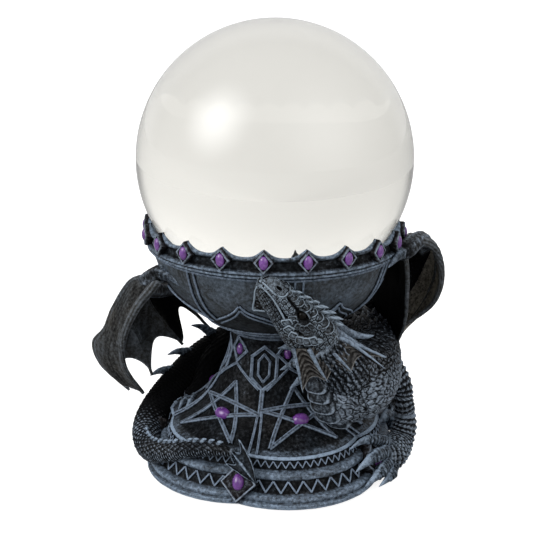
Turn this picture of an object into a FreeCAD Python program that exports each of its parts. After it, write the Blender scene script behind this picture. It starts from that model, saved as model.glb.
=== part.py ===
# Crystal ball on a chalice stand with a dragon coiled round it.
# Frame: millimetres, +Z up, origin at the centre of the flat base, -Y is the front.
import FreeCAD
import Part
import math
import os

V = FreeCAD.Vector

# ---- Driving dimensions -------------------------------------------------------------
BALL_R = 55.0              # solid glass ball, 110 mm across
BALL_Z = 127.4             # height of its centre when it is seated
SEAT_GAP = 0.3             # room between the ball and its seat

BASE_R = 55.0              # plinth, centre to the outside of a lobe
LOBES = 5
LOBE_SPREAD = 0.30         # centre of a lobe's arc, as a share of the lobe radius
LOBE_AZ = 21.4             # azimuth of the first lobe, measured from the front
STAR_AZ = [23.6, 94.0, 166.0, 238.0, 316.8]      # one star near the middle of each lobe
SHIELD_AZ = [-10.2, 58.0, 130.0, 202.0, 274.0]   # one shield near each cusp
FELT_T = 0.8
FELT_INSET = 3.0

BELL_FOOT_Z = 18.2         # top of the plinth, where the pedestal starts
NECK_R = 16.5              # narrowest part of the pedestal
NECK_TOP_Z = 59.0          # joint between the pedestal and the cup
CUP_RIM_Z = 92.0           # joint between the cup and its collar
COLLAR_TOP_Z = 100.1
COLLAR_R = 52.0
RELIEF = 0.9               # how far the raised tracery stands out
ARCHES = 7                 # pointed arches round the cup
ARCH_AZ = -40.3            # azimuth of the first springer between two arches
PEAK_LEAN = -2.2           # the hand-modelled peaks stand this far off the arch's middle

STUDS = 20
STUD_W = 7.8
STUD_H = 9.0
STUD_Z = 98.9
STUD_AZ = -4.3
STUD_T = 1.6


# Pedestal section: height, lobe radius, spread of the lobes (dies away going up)
BELL = [(18.2, 43.8, 0.30), (20.5, 38.4, 0.26), (24.0, 32.2, 0.20), (28.0, 27.6, 0.14),
        (33.0, 23.6, 0.09), (39.0, 20.4, 0.05), (46.0, 17.8, 0.03), (53.0, NECK_R, 0.03),
        (NECK_TOP_Z, 17.6, 0.03)]

# Plinth tiers, bottom up: height, lobe radius
TIERS = [(FELT_T, 54.2), (1.6, BASE_R), (2.8, BASE_R), (3.1, 53.2), (3.6, 53.8), (4.8, 54.0),
         (5.5, 53.0), (5.6, 50.6), (10.5, 48.4), (10.6, 49.0), (11.4, 49.6), (12.6, 49.4),
         (13.4, 48.4), (13.5, 45.9), (17.2, 44.6), (17.3, 45.2), (BELL_FOOT_Z, 44.6)]
LOWER_BAND = (5.9, 50.5, 10.4, 48.5)      # bottom height and radius, top height and radius
UPPER_BAND = (14.3, 45.7, 17.0, 44.7)

# Cup outside, bottom up: radius, height
CUP = [(17.6, NECK_TOP_Z), (22.0, 60.2), (23.4, 61.2), (33.4, 68.0), (40.6, 74.5),
       (44.6, 80.5), (46.4, 85.0), (47.6, 88.6), (48.6, CUP_RIM_Z)]

# Dragon routes: centre x, y, z and radius
TORSO = [(27.5, -31.5, 39.5, 11.4), (32.5, -26.5, 42.5, 14.8), (37.6, -14.0, 44.8, 14.2),
         (39.4, 4.0, 47.0, 13.2), (36.5, 22.0, 46.5, 13.4), (24.0, 37.0, 44.0, 13.8),
         (5.0, 44.0, 39.5, 13.4), (-13.0, 41.5, 34.5, 12.0)]
TAIL = [(-13.0, 41.5, 34.5, 11.4), (-29.0, 34.0, 28.0, 9.8), (-42.0, 21.0, 20.5, 8.0),
        (-50.0, 6.0, 15.2, 6.6), (-52.0, -7.5, 11.6, 5.7), (-49.0, -19.5, 10.4, 4.9),
        (-41.5, -29.0, 13.4, 4.0), (-32.0, -36.0, 18.0, 3.3), (-22.5, -41.5, 20.8, 2.7),
        (-15.0, -46.0, 21.4, 2.0)]
NECK = [(31.5, -27.5, 45.0, 13.6), (26.5, -34.0, 53.0, 11.4), (21.8, -39.4, 60.5, 9.2),
        (17.6, -43.0, 66.5, 8.0)]
HEAD_BACK = V(17.8, -43.2, 67.0)
HEAD_TIP = V(-5.8, -51.4, 90.2)
HEAD_ROLL = 24.0
# Skull and jaw sections: share of the head's length, half width, half height, rise
SKULL = [(0.0, 6.6, 5.4, 0.6), (0.18, 7.0, 5.0, 1.4), (0.36, 6.2, 4.2, 1.6),
         (0.58, 4.6, 3.1, 1.3), (0.80, 3.8, 2.6, 1.2), (0.94, 3.2, 2.2, 0.9),
         (1.0, 1.8, 1.2, 0.5)]
JAW = [(0.06, 5.2, 2.6, -5.4), (0.25, 4.6, 2.2, -5.2), (0.50, 3.4, 1.6, -4.2),
       (0.78, 2.6, 1.3, -3.4), (0.95, 1.6, 1.0, -2.8)]

# Wing fingers: each is a run of points from the wrist to the tip
LEFT_WRIST = V(-43.0, -20.0, 85.0)
LEFT_FINGERS = [
    [(-47.6, -16.5, 78.5), (-55.0, -13.0, 68.0), (-60.5, -8.5, 55.0), (-61.8, -5.0, 45.0),
     (-60.2, -2.0, 36.5), (-54.4, 3.5, 25.5)],
    [(-51.5, -11.0, 81.0), (-58.4, -4.0, 76.0), (-66.0, 2.0, 63.0), (-70.0, 5.5, 53.5), (-75.5, 9.0, 45.5),
     (-72.0, 9.0, 35.5), (-60.5, 6.5, 25.5)],
    [(-51.0, -5.0, 79.0), (-59.0, 6.0, 70.0), (-61.5, 14.0, 57.0), (-57.0, 18.0, 44.0), (-51.8, 17.0, 28.5)],
    [(-50.0, 2.0, 77.0), (-54.0, 13.0, 70.0), (-53.0, 21.0, 60.0), (-47.0, 26.0, 49.0), (-39.3, 28.5, 38.5)],
    [(-47.0, 10.0, 75.0), (-46.0, 21.0, 70.0), (-41.0, 30.0, 61.0), (-35.0, 35.0, 52.0), (-28.0, 38.0, 43.0)]]
LEFT_SCALLOPS = [0.96, 0.80, 0.78, 0.80]
RIGHT_WRIST = V(51.5, -15.0, 94.0)
RIGHT_FINGERS = [
    [(58.0, -8.0, 96.5), (66.0, 0.0, 90.5), (70.0, 8.0, 76.0), (67.0, 13.0, 63.0), (56.0, 14.0, 53.5)],
    [(58.0, 0.0, 96.0), (67.0, 12.0, 88.5), (69.5, 20.0, 75.0), (65.0, 23.5, 60.0), (53.5, 22.0, 44.0)],
    [(56.0, 6.0, 94.5), (62.0, 20.0, 87.0), (62.5, 29.0, 74.0), (57.5, 32.0, 60.0), (46.0, 31.0, 42.0)],
    [(50.0, 8.0, 91.0), (45.5, 18.0, 86.0), (43.0, 20.0, 78.0), (42.0, 21.0, 69.0), (44.0, 20.0, 60.0),
     (47.5, 17.0, 52.0)],
    [(52.5, -13.0, 89.0), (53.3, -12.5, 82.0), (53.5, -12.0, 74.0), (53.8, -9.0, 65.0), (53.0, -5.0, 56.0)]]
RIGHT_SCALLOPS = [0.94, 0.90, 0.97, 1.0]
MEMBRANE_T = 1.3


# ---- Helpers --------------------------------------------------------------------------
def polar(az, r, z):
    """Point at azimuth az (degrees from the front, towards +X), radius r, height z."""
    a = math.radians(az)
    return V(r * math.sin(a), -r * math.cos(a), z)


def foil(r, spread, z):
    """Closed wire of LOBES arcs whose outermost points lie at radius r."""
    a = r * spread
    b = r - a
    half = math.radians(180.0 / LOBES)
    cusp = a * math.cos(half) + math.sqrt(b * b - (a * math.sin(half)) ** 2)
    step = 360.0 / LOBES
    edges = []
    for k in range(LOBES):
        mid = LOBE_AZ + k * step
        start = polar(mid - step / 2, cusp, z)
        end = polar(mid + step / 2, cusp, z)
        edges.append(Part.Arc(start, polar(mid, r, z), end).toShape())
    return Part.Wire(edges)


def lobe_point(r, spread, k, share, z):
    """Point on lobe k of the foil; share runs from 0 to 1 along the lobe's arc."""
    a = r * spread
    b = r - a
    half = math.radians(180.0 / LOBES)
    cusp = a * math.cos(half) + math.sqrt(b * b - (a * math.sin(half)) ** 2)
    reach = math.atan2(cusp * math.sin(half), cusp * math.cos(half) - a)
    t = reach * (2 * share - 1)
    x = a + b * math.cos(t)
    y = b * math.sin(t)
    m = math.radians(LOBE_AZ + k * 360.0 / LOBES)
    return V(x * math.sin(m) + y * math.cos(m), -x * math.cos(m) + y * math.sin(m), z)


def frames(points):
    """A pair of axes across the route at each point, carried along without twist."""
    result = []
    side = None
    for i in range(len(points)):
        ahead = points[min(i + 1, len(points) - 1)]
        behind = points[max(i - 1, 0)]
        t = (ahead - behind).normalize()
        if side is None:
            side = t.cross(V(0, 0, 1)) if abs(t.z) < 0.9 else t.cross(V(0, 1, 0))
        side = (side - t * side.dot(t)).normalize()
        result.append((t, side, t.cross(side)))
    return result


def ring(centre, side, up, a, b):
    """Closed oval wire with half axes a along side and b along up."""
    points = []
    for i in range(12):
        t = math.radians(30 * i)
        points.append(centre + side * (a * math.cos(t)) + up * (b * math.sin(t)))
    curve = Part.BSplineCurve()
    curve.interpolate(points, PeriodicFlag=True)
    return Part.Wire([curve.toShape()])


def tube(route):
    """Solid round limb through a list of (x, y, z, radius)."""
    points = [V(*p[:3]) for p in route]
    wires = []
    for p, row, frame in zip(points, route, frames(points)):
        wires.append(ring(p, frame[1], frame[2], row[3], row[3]))
    return Part.makeLoft(wires, True, False)


def prism(points, depth):
    """Flat polygon drawn out along the vector depth."""
    wire = Part.makePolygon(list(points) + [points[0]])
    return Part.Face(wire).extrude(depth)


def polyhedron(front, back):
    """Closed solid between two grids of points of the same size."""
    rows = len(front)
    cols = len(front[0])
    faces = []

    def quad(a, b, c, d):
        for tri in ((a, b, c), (a, c, d)):
            faces.append(Part.Face(Part.makePolygon([tri[0], tri[1], tri[2], tri[0]])))

    for i in range(rows - 1):
        for j in range(cols - 1):
            quad(front[i][j], front[i][j + 1], front[i + 1][j + 1], front[i + 1][j])
            quad(back[i][j], back[i + 1][j], back[i + 1][j + 1], back[i][j + 1])
    for i in range(rows - 1):
        quad(front[i][0], front[i + 1][0], back[i + 1][0], back[i][0])
        quad(front[i + 1][-1], front[i][-1], back[i][-1], back[i + 1][-1])
    for j in range(cols - 1):
        quad(front[0][j + 1], front[0][j], back[0][j], back[0][j + 1])
        quad(front[-1][j], front[-1][j + 1], back[-1][j + 1], back[-1][j])
    shell = Part.Shell(faces)
    shell.sewShape()
    solid = Part.Solid(shell)
    if solid.Volume < 0:
        solid.reverse()
    return solid


def half_oval(centre, side, up, out, a, b, h):
    """Cabochon: half an ellipsoid standing h above its flat back at centre."""
    dome = Part.makeSphere(1.0, V(0, 0, 0), V(0, 0, 1), 0, 90, 360)
    m = FreeCAD.Matrix(side.x * a, up.x * b, out.x * h, centre.x,
                       side.y * a, up.y * b, out.y * h, centre.y,
                       side.z * a, up.z * b, out.z * h, centre.z,
                       0, 0, 0, 1)
    return dome.transformGeometry(m)


def facing(az, lean=0.0):
    """Axes on a wall that faces azimuth az and leans back by lean degrees."""
    a = math.radians(az)
    e = math.radians(lean)
    side = V(math.cos(a), math.sin(a), 0)
    out = V(math.sin(a) * math.cos(e), -math.cos(a) * math.cos(e), math.sin(e))
    up = V(-math.sin(a) * math.sin(e), math.cos(a) * math.sin(e), math.cos(e))
    return side, up, out


def group(solids):
    return Part.makeCompound([s for s in solids if s.Volume > 1e-3])


def save(name, shape):
    shape.exportStep("parts/" + name + ".step")


# ---- Ball, cup and collar ---------------------------------------------------------------
def crystal_ball():
    return Part.makeSphere(BALL_R, V(0, 0, BALL_Z))


def turned(profile):
    """Solid turned about Z from a closed profile of (radius, height)."""
    points = [V(r, 0, z) for r, z in profile]
    wire = Part.makePolygon(points + [points[0]])
    return Part.Face(wire).revolve(V(0, 0, 0), V(0, 0, 1), 360)


def cup_skin(offset):
    """Outside of the cup as a full body, grown outwards by offset."""
    curve = Part.BSplineCurve()
    curve.interpolate([V(r + offset, 0, z) for r, z in CUP[1:]])
    bottom = CUP[0][1]
    edges = [curve.toShape()]
    edges.append(Part.makeLine(V(CUP[-1][0] + offset, 0, CUP_RIM_Z), V(0, 0, CUP_RIM_Z)))
    edges.append(Part.makeLine(V(0, 0, CUP_RIM_Z), V(0, 0, bottom)))
    edges.append(Part.makeLine(V(0, 0, bottom), V(CUP[0][0] + offset, 0, bottom)))
    edges.append(Part.makeLine(V(CUP[0][0] + offset, 0, bottom), V(CUP[1][0] + offset, 0, CUP[1][1])))
    return Part.Face(Part.Wire(edges)).revolve(V(0, 0, 0), V(0, 0, 1), 360)


def seat():
    return Part.makeSphere(BALL_R + SEAT_GAP, V(0, 0, BALL_Z))


def cup_bowl():
    return cup_skin(0).cut(seat())


def rim_collar():
    """Turned collar: two beads below a hollow channel and a plain lip."""
    profile = [(40.0, CUP_RIM_Z), (50.0, CUP_RIM_Z), (50.9, 92.4), (50.9, 93.0), (50.2, 93.4),
               (51.2, 93.8), (51.2, 94.5), (50.4, 94.9), (49.6, 95.4), (49.4, 98.4),
               (50.2, 98.9), (50.9, 99.3), (50.9, 99.8), (50.3, COLLAR_TOP_Z), (40.0, COLLAR_TOP_Z)]
    return turned(profile).cut(seat())


def cup_tracery():
    """Raised double lines: a springer between two arches, an ogee peak under each arch."""
    band = cup_skin(RELIEF).cut(cup_skin(0))
    bars = []
    step = 360.0 / ARCHES
    for k in range(ARCHES):
        az = ARCH_AZ + k * step
        for sign in (-1, 1):
            bars.append([(az + 1.8 * sign, 91.5), (az + 2.1 * sign, 84.0), (az + 2.5 * sign, 76.5),
                         (az + 3.4 * sign, 69.8)])
            peak = az + sign * 0.5 * step + PEAK_LEAN
            for drop in (0.0, 2.2):
                bars.append([(az + 3.4 * sign, 69.8 - drop), (az + sign * 0.27 * step, 74.0 - drop),
                             (peak, 79.4 - drop)])
    tools = []
    for bar in bars:
        for (az0, z0), (az1, z1) in zip(bar, bar[1:]):
            tools.append(cup_bar(az0, z0, az1, z1, 0.9))
    ring_low = turned([(22.5, 61.6), (34.0, 61.6), (34.0, 63.0), (22.5, 63.0)])
    return band.common(tools[0].fuse(tools[1:] + [ring_low]))


def cup_radius(z):
    for (r0, z0), (r1, z1) in zip(CUP, CUP[1:]):
        if z0 <= z <= z1:
            return r0 + (r1 - r0) * (z - z0) / (z1 - z0)
    return CUP[-1][0]


def cup_bar(az0, z0, az1, z1, width):
    """Straight bar across the cup's wall between two points given by azimuth and height."""
    p = polar(az0, cup_radius(z0), z0)
    q = polar(az1, cup_radius(z1), z1)
    mid = (az0 + az1) / 2
    out = facing(mid, -25.0)[2]
    along = (q - p).normalize()
    side = along.cross(out).normalize() * (width / 2)
    p = p - along * 0.3
    q = q + along * 0.3
    corners = [p - side, q - side, q + side, p + side]
    return prism([c - out * 3.0 for c in corners], out * 6.0)


def rim_studs():
    solids = []
    for k in range(STUDS):
        side, up, out = facing(STUD_AZ + k * 360.0 / STUDS)
        c = polar(STUD_AZ + k * 360.0 / STUDS, COLLAR_R - 1.0, STUD_Z)
        corners = [c - side * (STUD_W / 2), c - up * (STUD_H / 2),
                   c + side * (STUD_W / 2), c + up * (STUD_H / 2)]
        solids.append(prism(corners, out * STUD_T).cut(seat()))
    return group(solids)


def rim_cabochons():
    solids = []
    for k in range(STUDS):
        az = STUD_AZ + k * 360.0 / STUDS
        side, up, out = facing(az)
        c = polar(az, COLLAR_R - 1.0 + STUD_T, STUD_Z)
        solids.append(half_oval(c, side, up, out, 1.65, 2.25, 1.1))
    return group(solids)


# ---- Plinth and pedestal ------------------------------------------------------------------
def plinth():
    wires = [foil(r, LOBE_SPREAD, z) for z, r in TIERS]
    return Part.makeLoft(wires, True, True)


def base_felt():
    wire = foil(BASE_R - FELT_INSET, LOBE_SPREAD, 0)
    return Part.Face(wire).extrude(V(0, 0, FELT_T))


def zigzag_band(band, teeth):
    """One raised zigzag strip on each lobe, standing off the wall it lies on."""
    z_low, r_low, z_high, r_high = band
    line = 0.9
    solids = []
    for k in range(LOBES):
        front = [[], []]
        back = [[], []]
        for i in range(2 * teeth + 1):
            share = 0.06 + 0.88 * i / (2 * teeth)
            top = z_high if i % 2 else z_low + line
            for row, z in ((0, top), (1, top - line)):
                r = r_low + (r_high - r_low) * (z - z_low) / (z_high - z_low)
                front[row].append(lobe_point(r + 0.7, LOBE_SPREAD, k, share, z))
                back[row].append(lobe_point(r - 0.5, LOBE_SPREAD, k, share, z))
        solids.append(polyhedron(front, back))
    return group(solids)


def bell_skin(offset):
    wires = [foil(r + offset, spread, z) for z, r, spread in BELL]
    return Part.makeLoft(wires, True, False)


def bell_radius(z):
    for (z0, r0, s0), (z1, r1, s1) in zip(BELL, BELL[1:]):
        if z0 <= z <= z1:
            return r0 + (r1 - r0) * (z - z0) / (z1 - z0)
    return BELL[-1][1]


def bar(p, q, out, width, depth):
    """Straight bar from p to q with square ends, drawn out both ways along out."""
    along = (q - p).normalize()
    side = along.cross(out).normalize() * (width / 2)
    corners = [p - side, q - side, q + side, p + side]
    return prism([c - out * depth for c in corners], out * (2 * depth))


def wall_point(az, r_shift, z, dx):
    """Point near the pedestal wall, dx across from azimuth az."""
    side = facing(az)[0]
    return polar(az, bell_radius(z) + r_shift, z) + side * dx


# Star tips: azimuth from the middle of the star, height
STAR_TIPS = [(0.0, 38.2), (31.0, 28.8), (18.0, 20.4), (-24.0, 20.0), (-31.0, 30.0)]


def pentagram_stars(band):
    """One five-pointed star of flat bars on each lobe of the pedestal."""
    solids = []
    for az in STAR_AZ:
        out = facing(az, 40.0)[2]
        tips = [polar(az + turn, bell_radius(z), z) for turn, z in STAR_TIPS]
        bars = [bar(tips[i], tips[(i + 2) % 5], out, 1.7, 12.0) for i in range(5)]
        solids.append(band.common(bars[0].fuse(bars[1:])))
    return group(solids)


def star_cabochons():
    solids = []
    for az in STAR_AZ:
        side, up, out = facing(az, 46.0)
        c = polar(az, bell_radius(27.0) + 0.1, 27.0)
        solids.append(half_oval(c, side, up, out, 3.5, 2.5, 2.2))
    return group(solids)


def neck_kites(band):
    solids = []
    for k in range(LOBES):
        az = LOBE_AZ + k * 360.0 / LOBES
        side, up, out = facing(az, 6.0)
        c = polar(az, NECK_R, 51.0)
        outer = [c + up * 6.2, c + side * 4.6, c - up * 5.4, c - side * 4.6]
        inner = [c + up * 4.2, c + side * 3.0, c - up * 3.6, c - side * 3.0]
        frame = prism([p - out * 4 for p in outer], out * 10)
        frame = frame.cut(prism([p - out * 5 for p in inner], out * 12))
        solids.append(band.common(frame))
    return group(solids)


def neck_cabochons():
    solids = []
    for k in range(LOBES):
        az = LOBE_AZ + k * 360.0 / LOBES
        side, up, out = facing(az, 6.0)
        solids.append(half_oval(polar(az, NECK_R + 0.1, 51.0), side, up, out, 1.5, 2.4, 1.5))
    return group(solids)


def shield_frames(band):
    """Long hexagonal frame over each cusp, with a second frame inside it."""
    solids = []
    for az in SHIELD_AZ:
        side, up, out = facing(az, 8.0)
        c = polar(az, bell_radius(45.0), 45.4)
        rings = []
        for half_w, half_h, line in ((5.6, 9.6, 1.5), (2.7, 6.2, 1.1)):
            outer = hexagon(c, side, up, half_w, half_h)
            inner = hexagon(c, side, up, half_w - line, half_h - line)
            frame = prism([p - out * 4 for p in outer], out * 12)
            rings.append(frame.cut(prism([p - out * 5 for p in inner], out * 14)))
        solids.append(band.common(rings[0].fuse(rings[1])))
    return group(solids)


def hexagon(c, side, up, w, h):
    return [c + up * h, c + side * w + up * (h * 0.5), c + side * w - up * (h * 0.5),
            c - up * h, c - side * w - up * (h * 0.5), c - side * w + up * (h * 0.5)]


def bell_straps(band):
    """Strap that forks under each shield, and chevrons that join kites to shields."""
    solids = []
    for k, az in enumerate(SHIELD_AZ):
        out = facing(az, 30.0)[2]
        bars = [bar(wall_point(az, 0.0, 37.0, 0.0), wall_point(az, 0.0, 28.5, 0.0), out, 2.0, 5.0)]
        for dx in (-1.2, 1.2):
            points = [wall_point(az, 0.0, z, dx) for z in (28.8, 25.0, 21.5, 18.6)]
            bars += [bar(p, q, out, 1.1, 5.0) for p, q in zip(points, points[1:])]
        for sign in (-1, 1):
            kite = LOBE_AZ + (k - 0.5 + 0.5 * sign) * 360.0 / LOBES
            p = polar(kite, bell_radius(45.0), 45.0)
            q = polar(az + sign * 5.0, bell_radius(37.2), 37.2)
            bars.append(bar(p, q, facing((kite + az) / 2, 12.0)[2], 1.2, 6.0))
        solids.append(band.common(bars[0].fuse(bars[1:])))
    return group(solids)


def plate_axes(k):
    az = LOBE_AZ + (k - 0.5) * 360.0 / LOBES
    side, up, out = facing(az, 24.0)
    return side, up, out, polar(az, 49.6, 9.6)


def diamond_plates():
    solids = []
    for k in range(LOBES):
        side, up, out, c = plate_axes(k)
        corners = [c + up * 8.2, c + side * 7.2, c - up * 7.6, c - side * 7.2]
        solids.append(prism([p - out * 3.2 for p in corners], out * 4.6))
    return group(solids)


def plate_cabochons():
    solids = []
    for k in range(LOBES):
        side, up, out, c = plate_axes(k)
        solids.append(half_oval(c + out * 1.4 + up * 0.4, side, up, out, 2.3, 3.3, 2.0))
    return group(solids)


# ---- Dragon ---------------------------------------------------------------------------------
def head_axes():
    ahead = (HEAD_TIP - HEAD_BACK).normalize()
    left = (V(0, -1, 0) - ahead * ahead.dot(V(0, -1, 0))).normalize()
    top = ahead.cross(left)
    roll = math.radians(HEAD_ROLL)
    up = top * math.cos(roll) + left * math.sin(roll)
    out = left * math.cos(roll) - top * math.sin(roll)
    return ahead, out, up


def head_at(along, out_by, up_by):
    """Point in the head: share of its length, then millimetres out and up."""
    ahead, out, up = head_axes()
    return HEAD_BACK + (HEAD_TIP - HEAD_BACK) * along + out * out_by + up * up_by


def head_loft(sections):
    ahead, out, up = head_axes()
    wires = []
    for along, half_w, half_h, rise in sections:
        wires.append(ring(head_at(along, 0, rise), out, up, half_w, half_h))
    return Part.makeLoft(wires, True, False)


def horn(points, radius):
    """Tapering spike through three or more points."""
    last = len(points) - 1
    route = []
    for i, p in enumerate(points):
        route.append((p.x, p.y, p.z, radius * (1 - i / last) + 0.25))
    return tube(route)


def dragon_horns():
    solids = []
    for sign in (-1, 1):
        base = head_at(0.06, 3.6 * sign, 4.6)
        mid = head_at(-0.20, 4.6 * sign, 6.0)
        tip = head_at(-0.48, 6.4 * sign, 6.4)
        solids.append(horn([base, mid, tip], 1.9))
    return group(solids)


def crest_spikes():
    solids = []
    for i in range(7):
        along = 0.72 - 0.10 * i
        base = head_at(along, -0.6, 3.6 + 0.35 * i)
        tip = head_at(along - 0.10, -0.6, 6.0 + 0.45 * i)
        solids.append(Part.makeCone(1.3, 0.2, (tip - base).Length, base, tip - base))
    return group(solids)


FRILL_SPINES = [((0.02, 5.6, 2.0), (-0.62, 11.6, -1.0)), ((0.06, 6.6, -1.5), (-0.36, 12.6, -8.0)),
                ((0.14, 6.0, -4.4), (-0.12, 10.4, -14.5))]


def frill_spines():
    solids = []
    for sign in (-1, 1):
        for base, tip in FRILL_SPINES:
            p = head_at(base[0], sign * base[1], base[2])
            q = head_at(tip[0], sign * tip[1], tip[2])
            m = (p + q) * 0.5 + head_axes()[1] * (0.8 * sign)
            solids.append(horn([p, m, q], 1.0))
    return group(solids)


def frill_membranes():
    """Webs of skin between the frill's spines, one folded sheet on each side."""
    solids = []
    for sign in (-1, 1):
        front = []
        back = []
        out = head_axes()[1] * (0.35 * sign)
        for i, (base, tip) in enumerate(FRILL_SPINES):
            p = head_at(base[0], sign * base[1], base[2])
            q = head_at(tip[0], sign * tip[1], tip[2])
            row = [p + (q - p) * t for t in (0.1, 0.4, 0.7, 0.92)]
            front.append([c + out for c in row])
            back.append([c - out for c in row])
        solids.append(polyhedron(front, back))
    return group(solids)


def dragon_eyes():
    return group([Part.makeSphere(1.35, head_at(0.42, 5.0 * sign, 2.6)) for sign in (-1, 1)])


def belly_scutes():
    """Overlapping shields down the throat and the front of the chest."""
    places = [(15.6, -38.6, 46.0, 3.6), (16.6, -38.2, 42.0, 4.2), (18.0, -37.6, 37.6, 4.8),
              (20.0, -36.6, 33.2, 5.0), (24.0, -35.0, 29.8, 4.8)]
    centre = V(34.0, -24.0, 42.5)
    solids = []
    for x, y, z, r in places:
        p = V(x, y, z)
        out = (p - centre).normalize()
        solids.append(Part.makeCone(r, r * 0.72, 2.0, p - out * 1.4, out))
    return group(solids)


def back_spines():
    """Row of spikes along the top of the tail root and the back."""
    row = [(-44.0, 25.0, 27.0, -53.0, 19.5, 27.5), (-36.0, 31.5, 33.0, -46.0, 27.0, 34.5),
           (-26.0, 38.0, 39.5, -36.0, 34.0, 46.0), (-14.0, 44.0, 45.0, -21.0, 42.0, 54.0),
           (-1.0, 47.0, 49.0, -6.0, 47.0, 58.0), (12.0, 46.0, 54.0, 8.0, 49.0, 62.5),
           (25.0, 40.0, 56.5, 24.0, 46.0, 64.0), (35.0, 30.0, 59.0, 37.0, 36.0, 66.0)]
    solids = []
    for x0, y0, z0, x1, y1, z1 in row:
        p = V(x0, y0, z0)
        q = V(x1, y1, z1)
        solids.append(horn([p, (p + q) * 0.5 + V(0, 0, 0.6), q], 2.8))
    return group(solids)


def finger_points(wrist, finger):
    return [wrist] + [V(*p) for p in finger]


def curve_at(points, share):
    """Point at a share of the way along a smooth curve through points."""
    curve = Part.BSplineCurve()
    curve.interpolate(points)
    low = curve.FirstParameter
    high = curve.LastParameter
    return curve.value(low + (high - low) * share)


def wing_fingers(wrist, fingers, radius):
    solids = []
    for finger in fingers:
        points = finger_points(wrist, finger)
        last = len(points) - 1
        route = [(p.x, p.y, p.z, radius * (1 - 0.72 * i / last)) for i, p in enumerate(points)]
        solids.append(tube(route[1:]))
    return group(solids)


def wing_membrane(wrist, fingers, scallops, hollow):
    """Web of skin over the fingers, its edge scalloped between the finger tips."""
    columns = []
    for i, finger in enumerate(fingers):
        points = finger_points(wrist, finger)
        columns.append([curve_at(points, 0.14 + 0.84 * t / 6) for t in range(7)])
        if i < len(scallops):
            after = finger_points(wrist, fingers[i + 1])
            shares = [0.14 + 0.84 * scallops[i] * t / 6 for t in range(7)]
            columns.append([(curve_at(points, s) + curve_at(after, s)) * 0.5 for s in shares])
    centre = V(*hollow)
    front = []
    back = []
    for column in columns:
        inward = [(centre - p).normalize() * (MEMBRANE_T / 2) for p in column]
        front.append([p + n for p, n in zip(column, inward)])
        back.append([p - n for p, n in zip(column, inward)])
    return polyhedron(front, back)


def tail_barb():
    base = V(-15.0, -46.0, 21.6)
    tip = V(-6.2, -53.4, 12.6)
    out = V(-0.2, -0.85, 0.5).normalize()
    along = (tip - base).normalize()
    side = along.cross(out).normalize()
    length = (tip - base).Length
    places = [(0.0, 0.8), (-0.10, 5.2), (0.28, 4.4), (0.70, 2.6), (1.0, 0.0),
              (0.70, -2.0), (0.40, -3.4), (0.16, -4.4), (0.14, -0.8)]
    corners = [base + along * (length * a) + side * s for a, s in places]
    return prism([c - out * 0.8 for c in corners], out * 1.8)


def claws(places):
    solids = []
    for points, radius in places:
        solids.append(horn([V(*p) for p in points], radius))
    return group(solids)


OUTER_FORELEG = [(42.0, -7.0, 46.0, 8.0), (50.0, -7.5, 40.0, 5.2), (53.8, -8.0, 34.5, 3.8),
                 (54.6, -8.0, 28.6, 3.4), (55.4, -7.0, 22.5, 4.0), (55.4, -8.0, 17.0, 4.8),
                 (54.0, -10.0, 12.4, 5.2), (51.5, -14.5, 9.8, 5.8), (48.4, -20.0, 9.2, 6.0),
                 (45.0, -24.6, 10.4, 4.6)]
OUTER_FORE_CLAWS = [
    ([(47.0, -21.5, 15.0), (41.5, -26.5, 18.8), (36.0, -29.8, 19.4), (30.8, -32.3, 16.8)], 2.4),
    ([(46.4, -24.5, 12.4), (42.0, -31.0, 14.0), (37.6, -35.0, 12.6), (33.2, -37.4, 9.4)], 3.0),
    ([(47.0, -25.0, 8.4), (44.2, -31.6, 7.8), (40.6, -36.0, 6.0), (37.2, -38.0, 3.6)], 2.9),
    ([(49.6, -23.0, 6.4), (48.6, -29.0, 5.2), (45.8, -33.4, 4.2), (42.8, -36.0, 2.6)], 2.4)]
INNER_FORELEG = [(28.0, -26.0, 47.0, 6.5), (21.0, -25.0, 50.0, 5.2), (14.5, -23.5, 51.0, 4.2)]
INNER_FORE_CLAWS = [([(15.0, -23.0, 53.0), (8.0, -22.5, 56.0), (2.0, -20.5, 55.0)], 1.9),
                    ([(15.0, -24.0, 51.0), (9.0, -24.5, 50.0), (3.0, -22.5, 46.5)], 1.9),
                    ([(16.0, -25.0, 49.0), (12.0, -27.0, 45.0), (7.0, -26.0, 40.0)], 1.9)]
OUTER_HIND_LEG = [(30.0, 33.0, 42.0, 11.5), (43.0, 35.0, 33.0, 8.6), (50.5, 27.5, 24.0, 6.0),
                  (52.2, 19.5, 16.0, 4.6), (51.2, 12.5, 11.0, 4.2)]
OUTER_HIND_CLAWS = [([(50.6, 12.0, 12.6), (48.4, 5.5, 15.0), (45.6, 0.5, 14.4)], 2.2),
                    ([(51.8, 11.5, 10.2), (52.6, 4.5, 11.0), (51.4, -1.0, 7.6)], 2.2),
                    ([(52.2, 13.0, 9.0), (54.8, 7.5, 8.6), (54.6, 3.0, 5.4)], 2.0)]
INNER_HIND_LEG = [(-20.0, 34.0, 34.0, 7.5), (-26.0, 25.0, 30.0, 6.2), (-29.5, 16.0, 24.5, 4.6),
                  (-35.0, 10.0, 20.6, 3.4)]
INNER_HIND_CLAWS = [([(-34.0, 10.5, 20.6), (-37.5, 5.0, 20.6), (-39.5, 0.0, 18.6)], 1.8),
                    ([(-34.5, 11.0, 20.6), (-40.0, 8.0, 19.4), (-44.0, 4.5, 16.4)], 1.8),
                    ([(-33.0, 9.5, 21.6), (-34.0, 3.0, 22.4), (-36.5, -2.5, 20.4)], 1.8)]
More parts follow.
